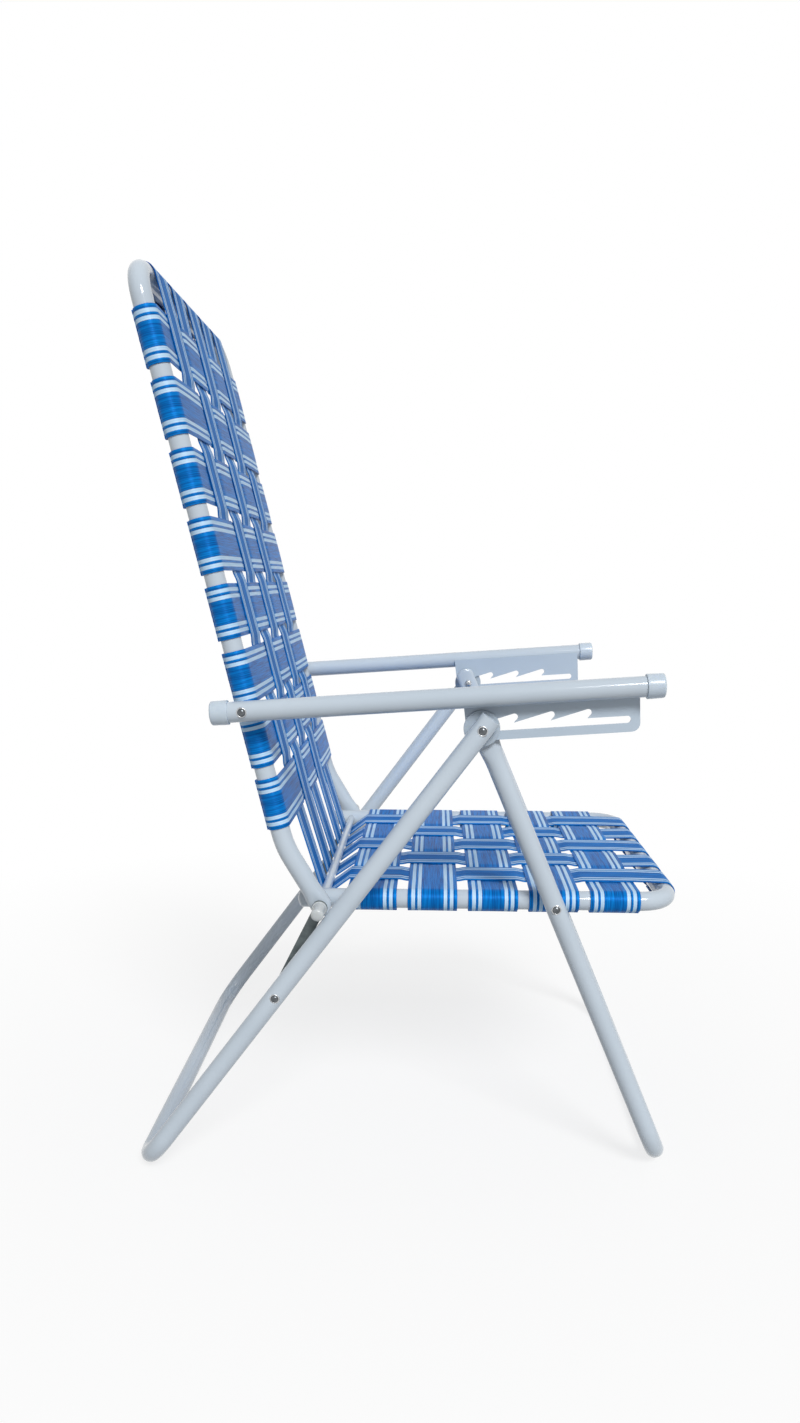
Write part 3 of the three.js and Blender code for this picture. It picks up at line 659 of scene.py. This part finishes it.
def pressed(grid, half_width, tip, inward, flat, reach, width, thickness, nose, squareness, outward=0.0):
    """Both ends of a U-shaped tube pressed flat.

    The distance from the tip along the leg gives a share: 1 up to `flat`, falling smoothly to 0 at `reach`.
    By that share the circle becomes a superellipse of the pressed width and thickness, moved outwards, and
    the nose's quarter ellipse narrows it to a round end.
    """
    across = np.array([-inward[1], inward[0]])
    offset = grid[..., [0, 2]] - tip
    along = offset @ inward
    side = np.sign(grid[..., 1])
    share = 1 - smooth_step(along, flat, reach)
    wide = offset @ across / TUBE_RADIUS
    deep = (side * grid[..., 1] - half_width) / TUBE_RADIUS
    power = 2 / (2 + share * (squareness - 2)) - 1
    wide = wide * np.maximum(np.abs(wide), NEAR_ZERO) ** power
    deep = deep * np.maximum(np.abs(deep), NEAR_ZERO) ** power
    rounding = np.sqrt(1 - (1 - np.clip(along / nose, 0, 1)) ** 2)
    wide = wide * (TUBE_RADIUS + share * (width / 2 - TUBE_RADIUS)) * np.maximum(rounding, NOSE_LEAST)
    deep = deep * (TUBE_RADIUS + share * (thickness / 2 - TUBE_RADIUS))
    place = tip + along[..., None] * inward + wide[..., None] * across
    y = side * (half_width + deep + share * outward)
    shaped = np.stack([place[..., 0], y, place[..., 1]], -1)
    return np.where((along < reach)[..., None], shaped, grid)


def nose_distances(nose):
    """Distances from a tip that follow a quarter circle: close together where the end curves most."""
    return nose * (1 - np.cos(np.linspace(0, math.pi / 2, NOSE_POINTS)))


def end_stations(shape, step, count):
    """Distances from a pressed tip: those of its nose, then even ones from a step past it to its reach."""
    further = np.linspace(shape["nose"] + step, shape["reach"], count)
    return np.concatenate([nose_distances(shape["nose"]), further])


def u_corners(half_width, top, bottom):
    """Corners of an upright U: down one side, across the bottom and up the other side."""
    return [(0, half_width, top), (0, half_width, bottom), (0, -half_width, bottom), (0, -half_width, top)]


def on_floor(grid):
    """The floor bar's lowest line worn flat at the floor."""
    grid = grid.copy()
    grid[..., 2] = np.maximum(grid[..., 2], 0.0)
    return grid


def rounded(profile, radius, count=EDGE_POINTS):
    """A profile's inner corners each replaced by a parabola that touches both its lines."""
    profile = np.asarray(profile, float)
    share = np.linspace(0, 1, count)[:, None]
    out = [profile[:1]]
    for before, corner, after in zip(profile[:-2], profile[1:-1], profile[2:]):
        back, ahead = before - corner, after - corner
        reach = min(radius, CORNER_SHARE * np.linalg.norm(back), CORNER_SHARE * np.linalg.norm(ahead))
        start = corner + back / np.linalg.norm(back) * reach
        end = corner + ahead / np.linalg.norm(ahead) * reach
        out.append((1 - share) ** 2 * start + 2 * share * (1 - share) * corner + share**2 * end)
    return np.concatenate([*out, profile[-1:]])


def lathe(profile, sides=LATHE_SIDES):
    """A profile of (radius, distance) carried round the Y axis."""
    angle = np.arange(sides) * 2 * math.pi / sides
    r, y = profile[:, 0, None], profile[:, 1, None]
    return np.stack([r * np.cos(angle), y + 0 * angle, r * np.sin(angle)], -1)


def turned_pair(name, profile, material, body, centre):
    """The same turned piece on the chair's left and right, centred on a point of the side view."""
    grid = lathe(profile) + on_middle_plane(centre)
    for side, mirror in SIDES:
        make_piece(f"{name}_{side}_finish", [grid * mirror], material, body, [f"{name}_{side}"])


# Frame tubes
def front_legs():
    """A U of tube whose upper ends are pressed to flat tangs around the leg pivot."""
    stations = end_stations(TANG, TANG_STEP, TANG_POINTS)
    corners = u_corners(LEG_HALF, TANG_END, -front_leg_length)
    tube = round_section(bent_route(corners, [LEG_BEND] * 2, FORWARD, stations, stations[::-1]), TUBE_RADIUS)
    tip = np.array([0.0, TANG_END])
    inward = np.array([0.0, -1.0])
    outward = TUBE_RADIUS - TANG["thickness"] / 2
    grid = placed(pressed(tube, LEG_HALF, tip, inward, outward=outward, **TANG), leg_pivot, front_leg_turn)
    make_piece("front_leg_tube", [on_floor(grid)], COAT, "front_legs", ["front_leg_frame"])


def rear_legs():
    """A U of tube with open ends: a floor inside, the inner wall, a rounded rim, then the outside."""
    inner = TUBE_RADIUS - TUBE_WALL
    distance = np.concatenate([[OPEN_END_DEPTH] * 2, RIM[:, 0], RIM[::-1, 0]])
    radius = np.concatenate([[TUBE_POLE, inner], inner + RIM[:, 1], TUBE_RADIUS - RIM[::-1, 1]])
    corners = u_corners(REAR_LEG_HALF, REAR_LEG_END, -rear_leg_length)
    route = bent_route(corners, [LEG_BEND] * 2, FORWARD, distance, distance[::-1])
    middle = np.full(len(route[0]) - 2 * len(radius), TUBE_RADIUS)
    grid = round_section(route, np.concatenate([radius, middle, radius[::-1]]))
    grid = placed(grid, leg_pivot, rear_leg_turn)
    make_piece("rear_leg_tube", [on_floor(grid)], COAT, "rear_legs", ["rear_leg_frame"])


def seat_frame():
    """A flat U of tube, open to the rear, with domed ends."""
    stations = nose_distances(SEAT_NOSE)
    left = [(SEAT_REAR, SEAT_HALF, 0), (SEAT_FRONT, SEAT_HALF, 0)]
    right = [(SEAT_FRONT, -SEAT_HALF, 0), (SEAT_REAR, -SEAT_HALF, 0)]
    route = bent_route(left + right, [SEAT_BEND] * 2, UP, stations, stations[::-1])
    dome = TUBE_RADIUS * np.sqrt(1 - (1 - stations / SEAT_NOSE) ** 2)
    dome = np.maximum(dome, TUBE_POLE)
    radius = np.concatenate([dome, np.full(len(route[0]) - 2 * len(dome), TUBE_RADIUS), dome[::-1]])
    grid = placed(round_section(route, radius), (0, seat_height), 0)
    make_piece("seat_tube", [grid], COAT, "seat", ["seat_frame"])


def back_frame():
    """An upside-down U of tube whose pressed lower ends bend forward to the rod."""
    inward = np.array([-math.sin(BACK_BEND), math.cos(BACK_BEND)])
    tip = -BACK_END * inward
    top = (-BACK_OFFSET, LEG_HALF - BACK_NARROWING, BACK_LENGTH)
    left = [(tip[0], LEG_HALF, tip[1]), (-BACK_OFFSET, LEG_HALF, back_bend), top]
    right = [tuple(MIRROR * corner) for corner in left[::-1]]
    bends = [LOWER_BEND, TOP_BEND, TOP_BEND, LOWER_BEND]
    stations = end_stations(BACK_TIP, BACK_TIP_STEP, BACK_TIP_POINTS)
    route = bent_route(left + right, bends, (inward[1], 0, -inward[0]), stations, stations[::-1])
    grid = pressed(round_section(route, TUBE_RADIUS), LEG_HALF, tip, inward, **BACK_TIP)
    make_piece("back_tube", [placed(grid, rod, -BACK_LEAN)], COAT, "back", ["back_frame"])


def arms():
    """Straight tubes with a moulded cup over each end, turned from a rounded profile."""
    bore = TUBE_RADIUS + CLEARANCE
    outside = bore + CAP_WALL
    cup = lathe(rounded([
        (TUBE_RADIUS + CAP_MOUTH_GAP, CAP_MOUTH),
        (bore, 0),
        (outside, 0),
        (outside - CAP_DRAFT, CAP_LENGTH),
        (TUBE_POLE, CAP_LENGTH + CAP_CROWN),
    ], CAP_ROUND, CAP_POINTS))
    ends = {"front": (pin_along + ARM_AHEAD, 1.0), "rear": (-ARM_BEHIND, -1.0)}
    for side, mirror in SIDES:
        y = mirror[1] * ARM_HALF
        corners = [(tip - sense * ARM_INSIDE_CAP, y, 0) for tip, sense in (ends["rear"], ends["front"])]
        route = bent_route(corners, [], UP, ARM_END_RINGS, ARM_END_RINGS[::-1])
        tube = placed(round_section(route, TUBE_RADIUS), arm_pivot, arm_turn)
        make_piece(f"arm_tube_{side}_finish", [tube], COAT, "arms", [f"arm_tube_{side}"])
        for end, (tip, sense) in ends.items():
            along = tip - sense * (CAP_LENGTH - cup[..., 1])
            cap = placed(np.stack([along, y + cup[..., 0], cup[..., 2]], -1), arm_pivot, arm_turn)
            make_piece(f"arm_{end}_cap_{side}_finish", [cap], PLASTIC, "arms", [f"arm_{end}_cap_{side}"])


# Turned pieces
def rivet_flange(face):
    """The flared ring under a rivet's dome: half an ellipse from its outer edge to under the dome."""
    angle = np.linspace(0, math.pi, FLANGE_POINTS)
    half = (FLANGE_RADIUS - DOME_RADIUS + FLANGE_UNDER_DOME) / 2
    radius = FLANGE_RADIUS - half + half * np.cos(angle)
    curve = np.stack([radius, face + FLANGE * np.sin(angle)], -1)
    return [(FLANGE_RADIUS, face - FLANGE), *curve, (TURNED_POLE, face)]


def rivet_dome(face):
    """A rivet's dome: a quarter ellipse on a short foot."""
    angle = np.linspace(0, math.pi / 2, DOME_POINTS)
    curve = np.stack([DOME_RADIUS * np.cos(angle), face + HEAD_HEIGHT * np.sin(angle)], -1)
    curve[-1, 0] = TURNED_POLE
    return np.array([(TURNED_POLE, face - DOME_FOOT), (DOME_RADIUS, face - DOME_FOOT), *curve])


def rivet_tail(face):
    """A rivet's flat tail: its end, a slope and a short rim up to the face that it bears on."""
    end = face - TAIL_HEIGHT
    flat = HEAD_RADIUS * TAIL_FLAT_SHARE
    return [(TURNED_POLE, end), (flat, end), (HEAD_RADIUS, face - TAIL_HEIGHT / 2), (HEAD_RADIUS, face)]


def rivet(tail_face, head_face, tail=True):
    """A rivet's profile: a tail or a plain end, the shank, and the flange of its head."""
    start = rivet_tail(tail_face) if tail else [(TURNED_POLE, tail_face)]
    return np.array([*start, (RIVET_RADIUS, tail_face), (RIVET_RADIUS, head_face), *rivet_flange(head_face)])


def ring(inner, outer, radius):
    """A washer round a rivet: a closed section from its bore over its rounded rim and back."""
    bore = RIVET_RADIUS + BORE_PLAY
    lip = bore + BORE_LIP
    face = rounded([(lip, inner), (radius, inner), (radius, outer), (lip, outer)], WASHER_EDGE)
    return np.concatenate([[(bore, inner)], face, [(bore, outer), (bore, inner)]])


def rivets_and_washers():
    """Rivets from tail face to head face, a dome on each head, and the washers between moving parts."""
    arm_face = ARM_HALF + TUBE_RADIUS - HEAD_SINK
    rear_leg_face = REAR_LEG_HALF + TUBE_RADIUS - HEAD_SINK
    front_leg_outer = LEG_HALF + TUBE_RADIUS
    seat_face = front_leg_outer - HEAD_SINK
    tang_inner = front_leg_outer - TANG["thickness"] - CLEARANCE
    seat_inner = SEAT_HALF - TUBE_RADIUS - CLEARANCE
    link_rivet = rivet(LINK[1] + CLEARANCE, rear_leg_face, tail=False)
    rivets = (
        ("leg", rivet(tang_inner, rear_leg_face), rear_leg_face, "front_legs", leg_pivot),
        ("seat", rivet(seat_inner, seat_face), seat_face, "front_legs", seat_pivot),
        ("link", link_rivet, rear_leg_face, "rear_legs", link_pivot),
        ("arm", rivet(ARM_SPACER[0], arm_face, tail=False), arm_face, "arms", arm_pivot),
    )
    for name, profile, _, body, centre in rivets:
        turned_pair(f"{name}_rivet", profile, STEEL, body, centre)
    # Each head's dome is coloured dark as a painted reflection.
    for name, _, face, body, centre in rivets:
        dome = lathe(rivet_dome(face)) + on_middle_plane(centre)
        make_piece(f"{name}_rivet_domes", [dome, dome * MIRROR], DOME_PAINTED_DARK_REFLECTION, body)
    tail_face = back_half(ARM_JOINT + HEAD_RADIUS) - TUBE_RADIUS - CLEARANCE
    pin_end = ARM_SPACER[0] - CLEARANCE
    shank = [(RIVET_RADIUS, tail_face), (RIVET_RADIUS, pin_end), (TURNED_POLE, pin_end)]
    turned_pair("arm_rivet_tail", np.array([*rivet_tail(tail_face), *shank]), STEEL, "back", arm_pivot)
    turned_pair("seat_washer", ring(*SEAT_WASHER, SEAT_WASHER_RADIUS), WASHER, "front_legs", seat_pivot)
    turned_pair("inner_leg_washer", ring(*INNER_WASHER, INNER_WASHER_RADIUS), WASHER, "arm_tilt", leg_pivot)
    turned_pair("outer_leg_washer", ring(*OUTER_WASHER, OUTER_WASHER_RADIUS), WASHER, "arm_pivot", leg_pivot)
    turned_pair("arm_spacer", ring(*ARM_SPACER, ARM_SPACER_RADIUS), PLASTIC, "arms", arm_pivot)


def rod_and_caps():
    """A plain rod, and caps with a thin flange at the root and a nose that is a quarter ellipse."""
    corners = [(TURNED_POLE, -ROD_END), (ROD_RADIUS, -ROD_END), (ROD_RADIUS, ROD_END), (TURNED_POLE, ROD_END)]
    bar = lathe(rounded(corners, ROD_EDGE)) + on_middle_plane(rod)
    make_piece("seat_pivot_rod_finish", [bar], COAT, "rod", ["seat_pivot_rod"])
    root, end = ROD_CAP
    skirt = rounded([
        (ROD_RADIUS, root),
        (ROD_CAP_FLANGE, root),
        (ROD_CAP_FLANGE, root + ROD_CAP_RIM),
        (ROD_CAP_RADIUS, root + ROD_CAP_RIM),
        (ROD_CAP_RADIUS, end - ROD_CAP_NOSE),
    ], ROD_CAP_EDGE)
    angle = np.linspace(0, math.pi / 2, ROD_NOSE_POINTS)[1:]
    radius = np.maximum(ROD_CAP_RADIUS * np.cos(angle), TURNED_POLE)
    nose = np.stack([radius, end - ROD_CAP_NOSE * (1 - np.sin(angle))], -1)
    turned_pair("rod_cap", np.concatenate([skirt, nose]), ROD_PLASTIC, "rod", rod)


# Flat pieces
def links():
    """Flat bars: an outline of two arcs and two straight sides, drawn in at both faces by quarter circles."""
    run = link_pivot - rod
    neck = math.asin(LINK_HALF / LINK_EYE)
    eye = LINK_EYE * arc(np.linspace(neck, 2 * math.pi - neck, LINK_EYE_POINTS))
    tip = LINK_HALF * arc(np.linspace(-math.pi / 2, math.pi / 2, LINK_TIP_POINTS))
    outline = np.concatenate([eye, tip + np.array([np.linalg.norm(run), 0])])
    tangent = np.roll(outline, -1, axis=0) - np.roll(outline, 1, axis=0)
    tangent /= np.linalg.norm(tangent, axis=1)[:, None]
    outwards = np.stack([tangent[:, 1], -tangent[:, 0]], -1)
    angle = np.linspace(0, math.pi / 2, EDGE_POINTS)
    rise = LINK_EDGE * (1 - np.cos(angle))
    fall = LINK_EDGE * (1 - np.sin(angle))
    inset = np.concatenate([fall, rise])
    level = np.concatenate([LINK[0] + rise, LINK[1] - fall])
    flat = outline[None] - inset[:, None, None] * outwards[None]
    y = np.broadcast_to(level[:, None], flat.shape[:2])
    grid = placed(np.stack([flat[..., 0], y, flat[..., 1]], -1), rod, -math.atan2(run[1], run[0]))
    for side, mirror in SIDES:
        # The links' dark grey is painted shade.
        make_piece(f"fold_link_{side}_finish", [grid * mirror], LINK_PAINTED_SHADE, "links", [f"fold_link_{side}"])


def racks():
    """The racks keep their solids; a weld and a small bevel round the stamped edges."""
    for side, _ in SIDES:
        rack = frame["nodes"][f"recline_rack_{side}"]
        rack.data.materials.clear()
        # The rack coat's darker tone is partly painted shade.
        rack.data.materials.append(RACK_TONE_AND_PAINTED_SHADE)
        weld = rack.modifiers.new("weld", "WELD")
        weld.merge_threshold = RACK_WELD / 1000
        bevel = rack.modifiers.new("edge", "BEVEL")
        bevel.width = RACK_EDGE / 1000
        bevel.segments = RACK_EDGE_STEPS
        bevel.limit_method = "ANGLE"
        bevel.angle_limit = RACK_EDGE_ANGLE


# Webbing
def web_section():
    """A strap's section as (across, out): two long sides with a slight crown and half-round edges."""
    half = WEB_THICKNESS / 2
    run = np.linspace(-1, 1, WEB_SIDE_POINTS) * (WEB_WIDTH / 2 - half)
    edge = np.linspace(math.pi / 2, -math.pi / 2, WEB_EDGE_POINTS)[1:-1]
    right = np.stack([WEB_WIDTH / 2 - half + half * np.cos(edge), half * np.sin(edge)], -1)
    upper = np.stack([run, np.full(len(run), half)], -1)
    section = np.concatenate([upper, right, -upper, -right])
    section[:, 1] += WEB_CROWN * (1 - (2 * section[:, 0] / WEB_WIDTH) ** 2)
    return section


def ribbon(path):
    """The strap's section carried along a flat path: path + out * path normal.

    Returns the path's first and second axis and the distance across for each point, the map and the length.
    """
    section = web_section()
    step = np.linalg.norm(np.diff(path, axis=0), axis=1)
    length = np.concatenate([[0], np.cumsum(step)])
    tangent = np.gradient(path, axis=0)
    tangent /= np.linalg.norm(tangent, axis=1)[:, None]
    normal = np.stack([-tangent[:, 1], tangent[:, 0]], -1)
    flat = path[:, None] + section[None, :, 1, None] * normal[:, None]
    across = np.broadcast_to(section[:, 0], flat.shape[:2])
    plan = np.stack([across, np.broadcast_to(length[:, None], flat.shape[:2])], -1)
    return flat[..., 0], flat[..., 1], across, plan, length[-1]


def hemmed_end():
    """A strap's end on a tube: round it to the hem's fold, half a turn outwards, and back over itself.

    The angle runs from the side of the tube that faces the sitter. Returns each point's (sine, cosine) part.
    """
    down = np.linspace(0, HEM_FOLD, WRAP_POINTS)
    fold = np.linspace(0, math.pi, FOLD_POINTS)[1:-1]
    back = np.linspace(HEM_FOLD, HEM_BACK, HEM_POINTS)
    half = HEM_LAYER / 2
    middle = WRAP_RADIUS + half
    angle = np.concatenate([down, HEM_FOLD + half * np.sin(fold) / middle, back])
    radius = np.concatenate([
        np.full(len(down), WRAP_RADIUS),
        middle - half * np.cos(fold),
        np.full(len(back), WRAP_RADIUS + HEM_LAYER),
    ])
    return radius[:, None] * arc(angle)[:, ::-1]


def hanging_end():
    """A back strap's end: over the top bar, straight down behind it to the hem's fold, and up over itself.

    The angle runs from the side of the bar that faces the sitter. Returns each point's (sine, cosine) part.
    """
    over_bar = np.linspace(0, math.pi, TOP_BAR_POINTS)
    down = np.linspace(0, -BACK_TAIL, TAIL_POINTS)[1:]
    fold = np.linspace(0, math.pi, FOLD_POINTS)[1:-1]
    up = np.linspace(TAIL_HEM_END, math.pi, TAIL_HEM_POINTS)[::-1]
    half = HEM_LAYER / 2
    outer = WRAP_RADIUS + HEM_LAYER
    return np.concatenate([
        WRAP_RADIUS * arc(over_bar)[:, ::-1],
        np.stack([down, np.full(len(down), -WRAP_RADIUS)], -1),
        np.stack([-BACK_TAIL - half * np.sin(fold), -WRAP_RADIUS - half * (1 - np.cos(fold))], -1),
        np.stack([down[::-1], np.full(len(down), -outer)], -1),
        outer * arc(up)[:, ::-1],
    ])


def woven(centres, signs):
    """Positions along a strap and its lift: level at every crossing, with a cosine from each to the next."""
    share = np.linspace(0, 1, BETWEEN_POINTS)[1:-1]
    ease = 0.5 - 0.5 * np.cos(math.pi * share)
    position, lift = [], []
    for number, (centre, sign) in enumerate(zip(centres, signs)):
        position.append(centre + np.linspace(-1, 1, CROSSING_POINTS) * CROSSING_HALF)
        lift.append(np.full(CROSSING_POINTS, sign * WEAVE_LIFT))
        if number + 1 < len(centres):
            start, end = centre + CROSSING_HALF, centres[number + 1] - CROSSING_HALF
            position.append(start + share * (end - start))
            lift.append(WEAVE_LIFT * (sign + ease * (signs[number + 1] - sign)))
    return np.concatenate(position), np.concatenate(lift)


def lane_middle(lane):
    """A long strap's distance to the sitter's left: even steps on both sides of the middle lane."""
    return (LANES[len(LANES) // 2] - lane) * LONG_PITCH


def back_row(row):
    """A cross strap's height along the back: even steps from the last row up to the first."""
    pitch = (BACK_ROW_LAST - BACK_ROW_FIRST) / (len(BACK_ROWS) - 1)
    return BACK_ROW_FIRST + (len(BACK_ROWS) - row) * pitch


def seat_row(row):
    """A cross strap's place along the seat: even steps forward from the rod."""
    return rod[0] + SEAT_ROW_FIRST + (row - 1) * SEAT_PITCH


def over(lane, row):
    """1 where the long strap passes in front of the cross strap, and -1 where it passes behind."""
    return 1.0 if (lane + row) % 2 == 0 else -1.0


def strap(name, grid, plan, body):
    """A strap stretched over the pieces that carry it, as wide as the webbing and as long as its path."""
    piece = make_piece(f"{name}_web", [grid], WEBBING, body, [name], [plan])


def cross_path(half_width, row):
    """From one hem round its tube, woven across, and round the other tube: (sideways, towards the sitter)."""
    lanes = LANES[::-1]
    position, lift = woven([lane_middle(lane) for lane in lanes], [-over(lane, row) for lane in lanes])
    middle = np.stack([position, WRAP_RADIUS + lift], -1)
    end = hemmed_end() + np.array([half_width, 0])
    start = (end * np.array([-1, 1]))[::-1]
    return np.concatenate([start, middle, end])


def back_straps():
    """Cross straps whose ends slant with the tubes, and long straps from behind the rod over the top bar."""
    for row in BACK_ROWS:
        y, x, z, plan, length = ribbon(cross_path(back_half(back_row(row)), row))
        y = y - np.sign(y) * back_slope * z
        grid = placed(np.stack([x - BACK_OFFSET, y, z + back_row(row)], -1), rod, -BACK_LEAN)
        strap(f"back_cross_strap_{row}", grid, plan, "back")
    rows = BACK_ROWS[::-1]
    foot = ROD_WRAP_RADIUS * arc(np.linspace(BACK_ROD_END, math.pi, BACK_FOOT_POINTS))
    end = hanging_end()[:, ::-1] + np.array([-BACK_OFFSET, BACK_LENGTH])
    for lane in LANES:
        position, lift = woven([back_row(row) for row in rows], [over(lane, row) for row in rows])
        middle = np.stack([WRAP_RADIUS - BACK_OFFSET + lift, position], -1)
        x, z, y, plan, length = ribbon(np.concatenate([foot, middle, end]))
        grid = placed(np.stack([x, y + lane_middle(lane), z], -1), rod, -BACK_LEAN)
        strap(f"back_long_strap_{lane}", grid, plan, "back")


def seat_straps():
    """Cross straps, and long straps that leave the rod on a tangent and end in a hem round the front bar."""
    for row in SEAT_ROWS:
        y, z, x, plan, length = ribbon(cross_path(SEAT_HALF, row))
        grid = np.stack([x + seat_row(row), y, z + seat_height], -1)
        strap(f"seat_cross_strap_{row}", grid, plan, "seat")
    rod_middle = np.array([rod[0], 0])
    end = hemmed_end() + np.array([SEAT_FRONT, 0])
    for lane in LANES:
        position, lift = woven([seat_row(row) for row in SEAT_ROWS], [over(lane, row) for row in SEAT_ROWS])
        middle = np.stack([position, WRAP_RADIUS + lift], -1)
        rise = middle[0] - rod_middle
        leave = 2 * math.pi + math.atan2(rise[1], rise[0]) - math.acos(ROD_WRAP_RADIUS / np.linalg.norm(rise))
        foot = rod_middle + ROD_WRAP_RADIUS * arc(np.linspace(SEAT_ROD_END, leave, SEAT_FOOT_POINTS))
        x, z, y, plan, length = ribbon(np.concatenate([foot, middle, end]))
        grid = np.stack([x, y + lane_middle(lane), z + seat_height], -1)
        strap(f"seat_long_strap_{lane}", grid, plan, "seat")


# Strap screws
def screw_head():
    """A pan head along +Y: part of an ellipse over the radius, cut by a cross where either axis is near."""
    slope = np.linspace(SCREW_RADIUS * SCREW_SHOULDER, SCREW_POLE, SCREW_POINTS)
    radius = np.concatenate([[SCREW_RADIUS, SCREW_RADIUS], slope])
    height = SCREW_HEIGHT * np.sqrt(np.maximum(1 - (radius / (SCREW_RADIUS * SCREW_SWELL)) ** 2, 0))
    height[0] = -SCREW_FOOT
    head = lathe(np.stack([radius, height], -1), SCREW_SIDES)
    near = np.minimum(np.abs(head[..., 0]), np.abs(head[..., 2]))
    within = np.hypot(head[..., 0], head[..., 2]) < SCREW_CROSS_REACH
    head[..., 1] -= SCREW_CROSS_DEPTH * within * (1 - smooth_step(near, *SCREW_CROSS_HALF))
    return head


def set_on_hem(head, tube_middle, direction):
    """A screw head moved out from a tube's middle to the hem's outer face, its axis along a direction."""
    place = tube_middle + HEM_OUTSIDE * direction
    direction = direction / np.linalg.norm(direction)
    side = np.cross(direction, SCREW_TURN)
    side /= np.linalg.norm(side)
    basis = np.stack([side, direction, np.cross(side, direction)])
    return head @ basis + place


def strap_screws():
    """One screw through the hem of every strap end, along the tube's radius."""
    head = screw_head()
    sine, cosine = math.sin(HEM_SCREW), math.cos(HEM_SCREW)
    back_heads, seat_heads = [], []
    for row in BACK_ROWS:
        for sense in (1, -1):
            middle = np.array([-BACK_OFFSET, sense * back_half(back_row(row)), back_row(row)])
            back_heads.append(set_on_hem(head, middle, np.array([cosine, sense * sine, 0])))
    for lane in LANES:
        middle = np.array([-BACK_OFFSET, lane_middle(lane), BACK_LENGTH])
        back_heads.append(set_on_hem(head, middle, np.array([math.cos(TAIL_SCREW), 0, math.sin(TAIL_SCREW)])))
    for row in SEAT_ROWS:
        for sense in (1, -1):
            middle = np.array([seat_row(row), sense * SEAT_HALF, seat_height])
            seat_heads.append(set_on_hem(head, middle, np.array([0, sense * sine, cosine])))
    for lane in LANES:
        middle = np.array([SEAT_FRONT, lane_middle(lane), seat_height])
        seat_heads.append(set_on_hem(head, middle, np.array([sine, 0, cosine])))
    make_piece("back_strap_screws", [placed(grid, rod, -BACK_LEAN) for grid in back_heads], STEEL, "back")
    make_piece("seat_strap_screws", seat_heads, STEEL, "seat")


# All the pieces
front_legs()
rear_legs()
seat_frame()
back_frame()
arms()
rivets_and_washers()
rod_and_caps()
links()
racks()
back_straps()
seat_straps()
strap_screws()


# Stage: a pale floor that fades to white, and soft light
def background_ray(tree):
    """1 for the rays that show the background: from the camera, off a gloss or through a clear surface."""
    rays = add(tree, "ShaderNodeLightPath")
    direct = math_node(tree, "MAXIMUM", rays.outputs["Is Camera Ray"], rays.outputs["Is Glossy Ray"])
    return math_node(tree, "MAXIMUM", direct, rays.outputs["Is Transmission Ray"])


def pale_floor():
    """A floor that reflects less than it shows: pale with the chair's shadow, and plain white far off."""
    material, tree, shader = new_finish("pale_floor", Roughness=0.9)
    place = object_place(tree)
    grain = noise(tree, place, *FLOOR_GRAIN)
    reflects = spread(tree, grain, FLOOR_REFLECTS - FLOOR_GRAIN_DEPTH, FLOOR_REFLECTS + FLOOR_GRAIN_DEPTH)
    seen = background_ray(tree)
    tree.links.new(spread(tree, seen, reflects, FLOOR_SEEN), shader.inputs["Base Color"])
    distance = add(tree, "ShaderNodeVectorMath", {0: place}, operation="LENGTH").outputs["Value"]
    whiteness = math_node(tree, "MULTIPLY", seen, spread(tree, distance, FLOOR_WHITE_NEAR, 1.0, *FLOOR_FADE))
    white = add(tree, "ShaderNodeEmission", {"Color": PLAIN_WHITE, "Strength": 1.0}).outputs["Emission"]
    mixed = add(tree, "ShaderNodeMixShader", {0: whiteness, 1: shader.outputs["BSDF"], 2: white})
    tree.links.new(mixed.outputs["Shader"], tree.nodes["Material Output"].inputs["Surface"])
    return material


floor_mesh = bpy.data.meshes.new("floor")
floor_signs = ((-1, -1), (1, -1), (1, 1), (-1, 1))
floor_corners = [(x * FLOOR_HALF, y * FLOOR_HALF, -FLOOR_DROP) for x, y in floor_signs]
floor_mesh.from_pydata(floor_corners, [], [(0, 1, 2, 3)])
floor_mesh.materials.append(pale_floor())
floor = bpy.data.objects.new("floor", floor_mesh)
bpy.context.scene.collection.objects.link(floor)

# One broad lamp, from above on the camera's side
key_data = bpy.data.lights.new("key_light", "SUN")
key_data.energy = KEY_LEVEL
key_data.angle = KEY_WIDTH
key = bpy.data.objects.new("key_light", key_data)
key.rotation_euler = Vector(KEY_FROM).to_track_quat("Z", "Y").to_euler()
bpy.context.scene.collection.objects.link(key)

# A dim room, brighter above and on the camera's side, that is seen as plain white
world = bpy.data.worlds.new("world")
world.use_nodes = True
bpy.context.scene.world = world
sky = world.node_tree
towards = add(sky, "ShaderNodeTexCoord").outputs["Generated"]
facing = add(sky, "ShaderNodeVectorMath", {0: towards, 1: ROOM_BRIGHT_SIDE}, operation="DOT_PRODUCT")
level = spread(sky, facing.outputs["Value"], ROOM_DARK, ROOM_BRIGHT, -1.0, 1.0)
background = sky.nodes["Background"].inputs
background["Color"].default_value = PLAIN_WHITE
sky.links.new(spread(sky, background_ray(sky), level, 1.0), background["Strength"])

bpy.context.scene.view_settings.view_transform = "Standard"
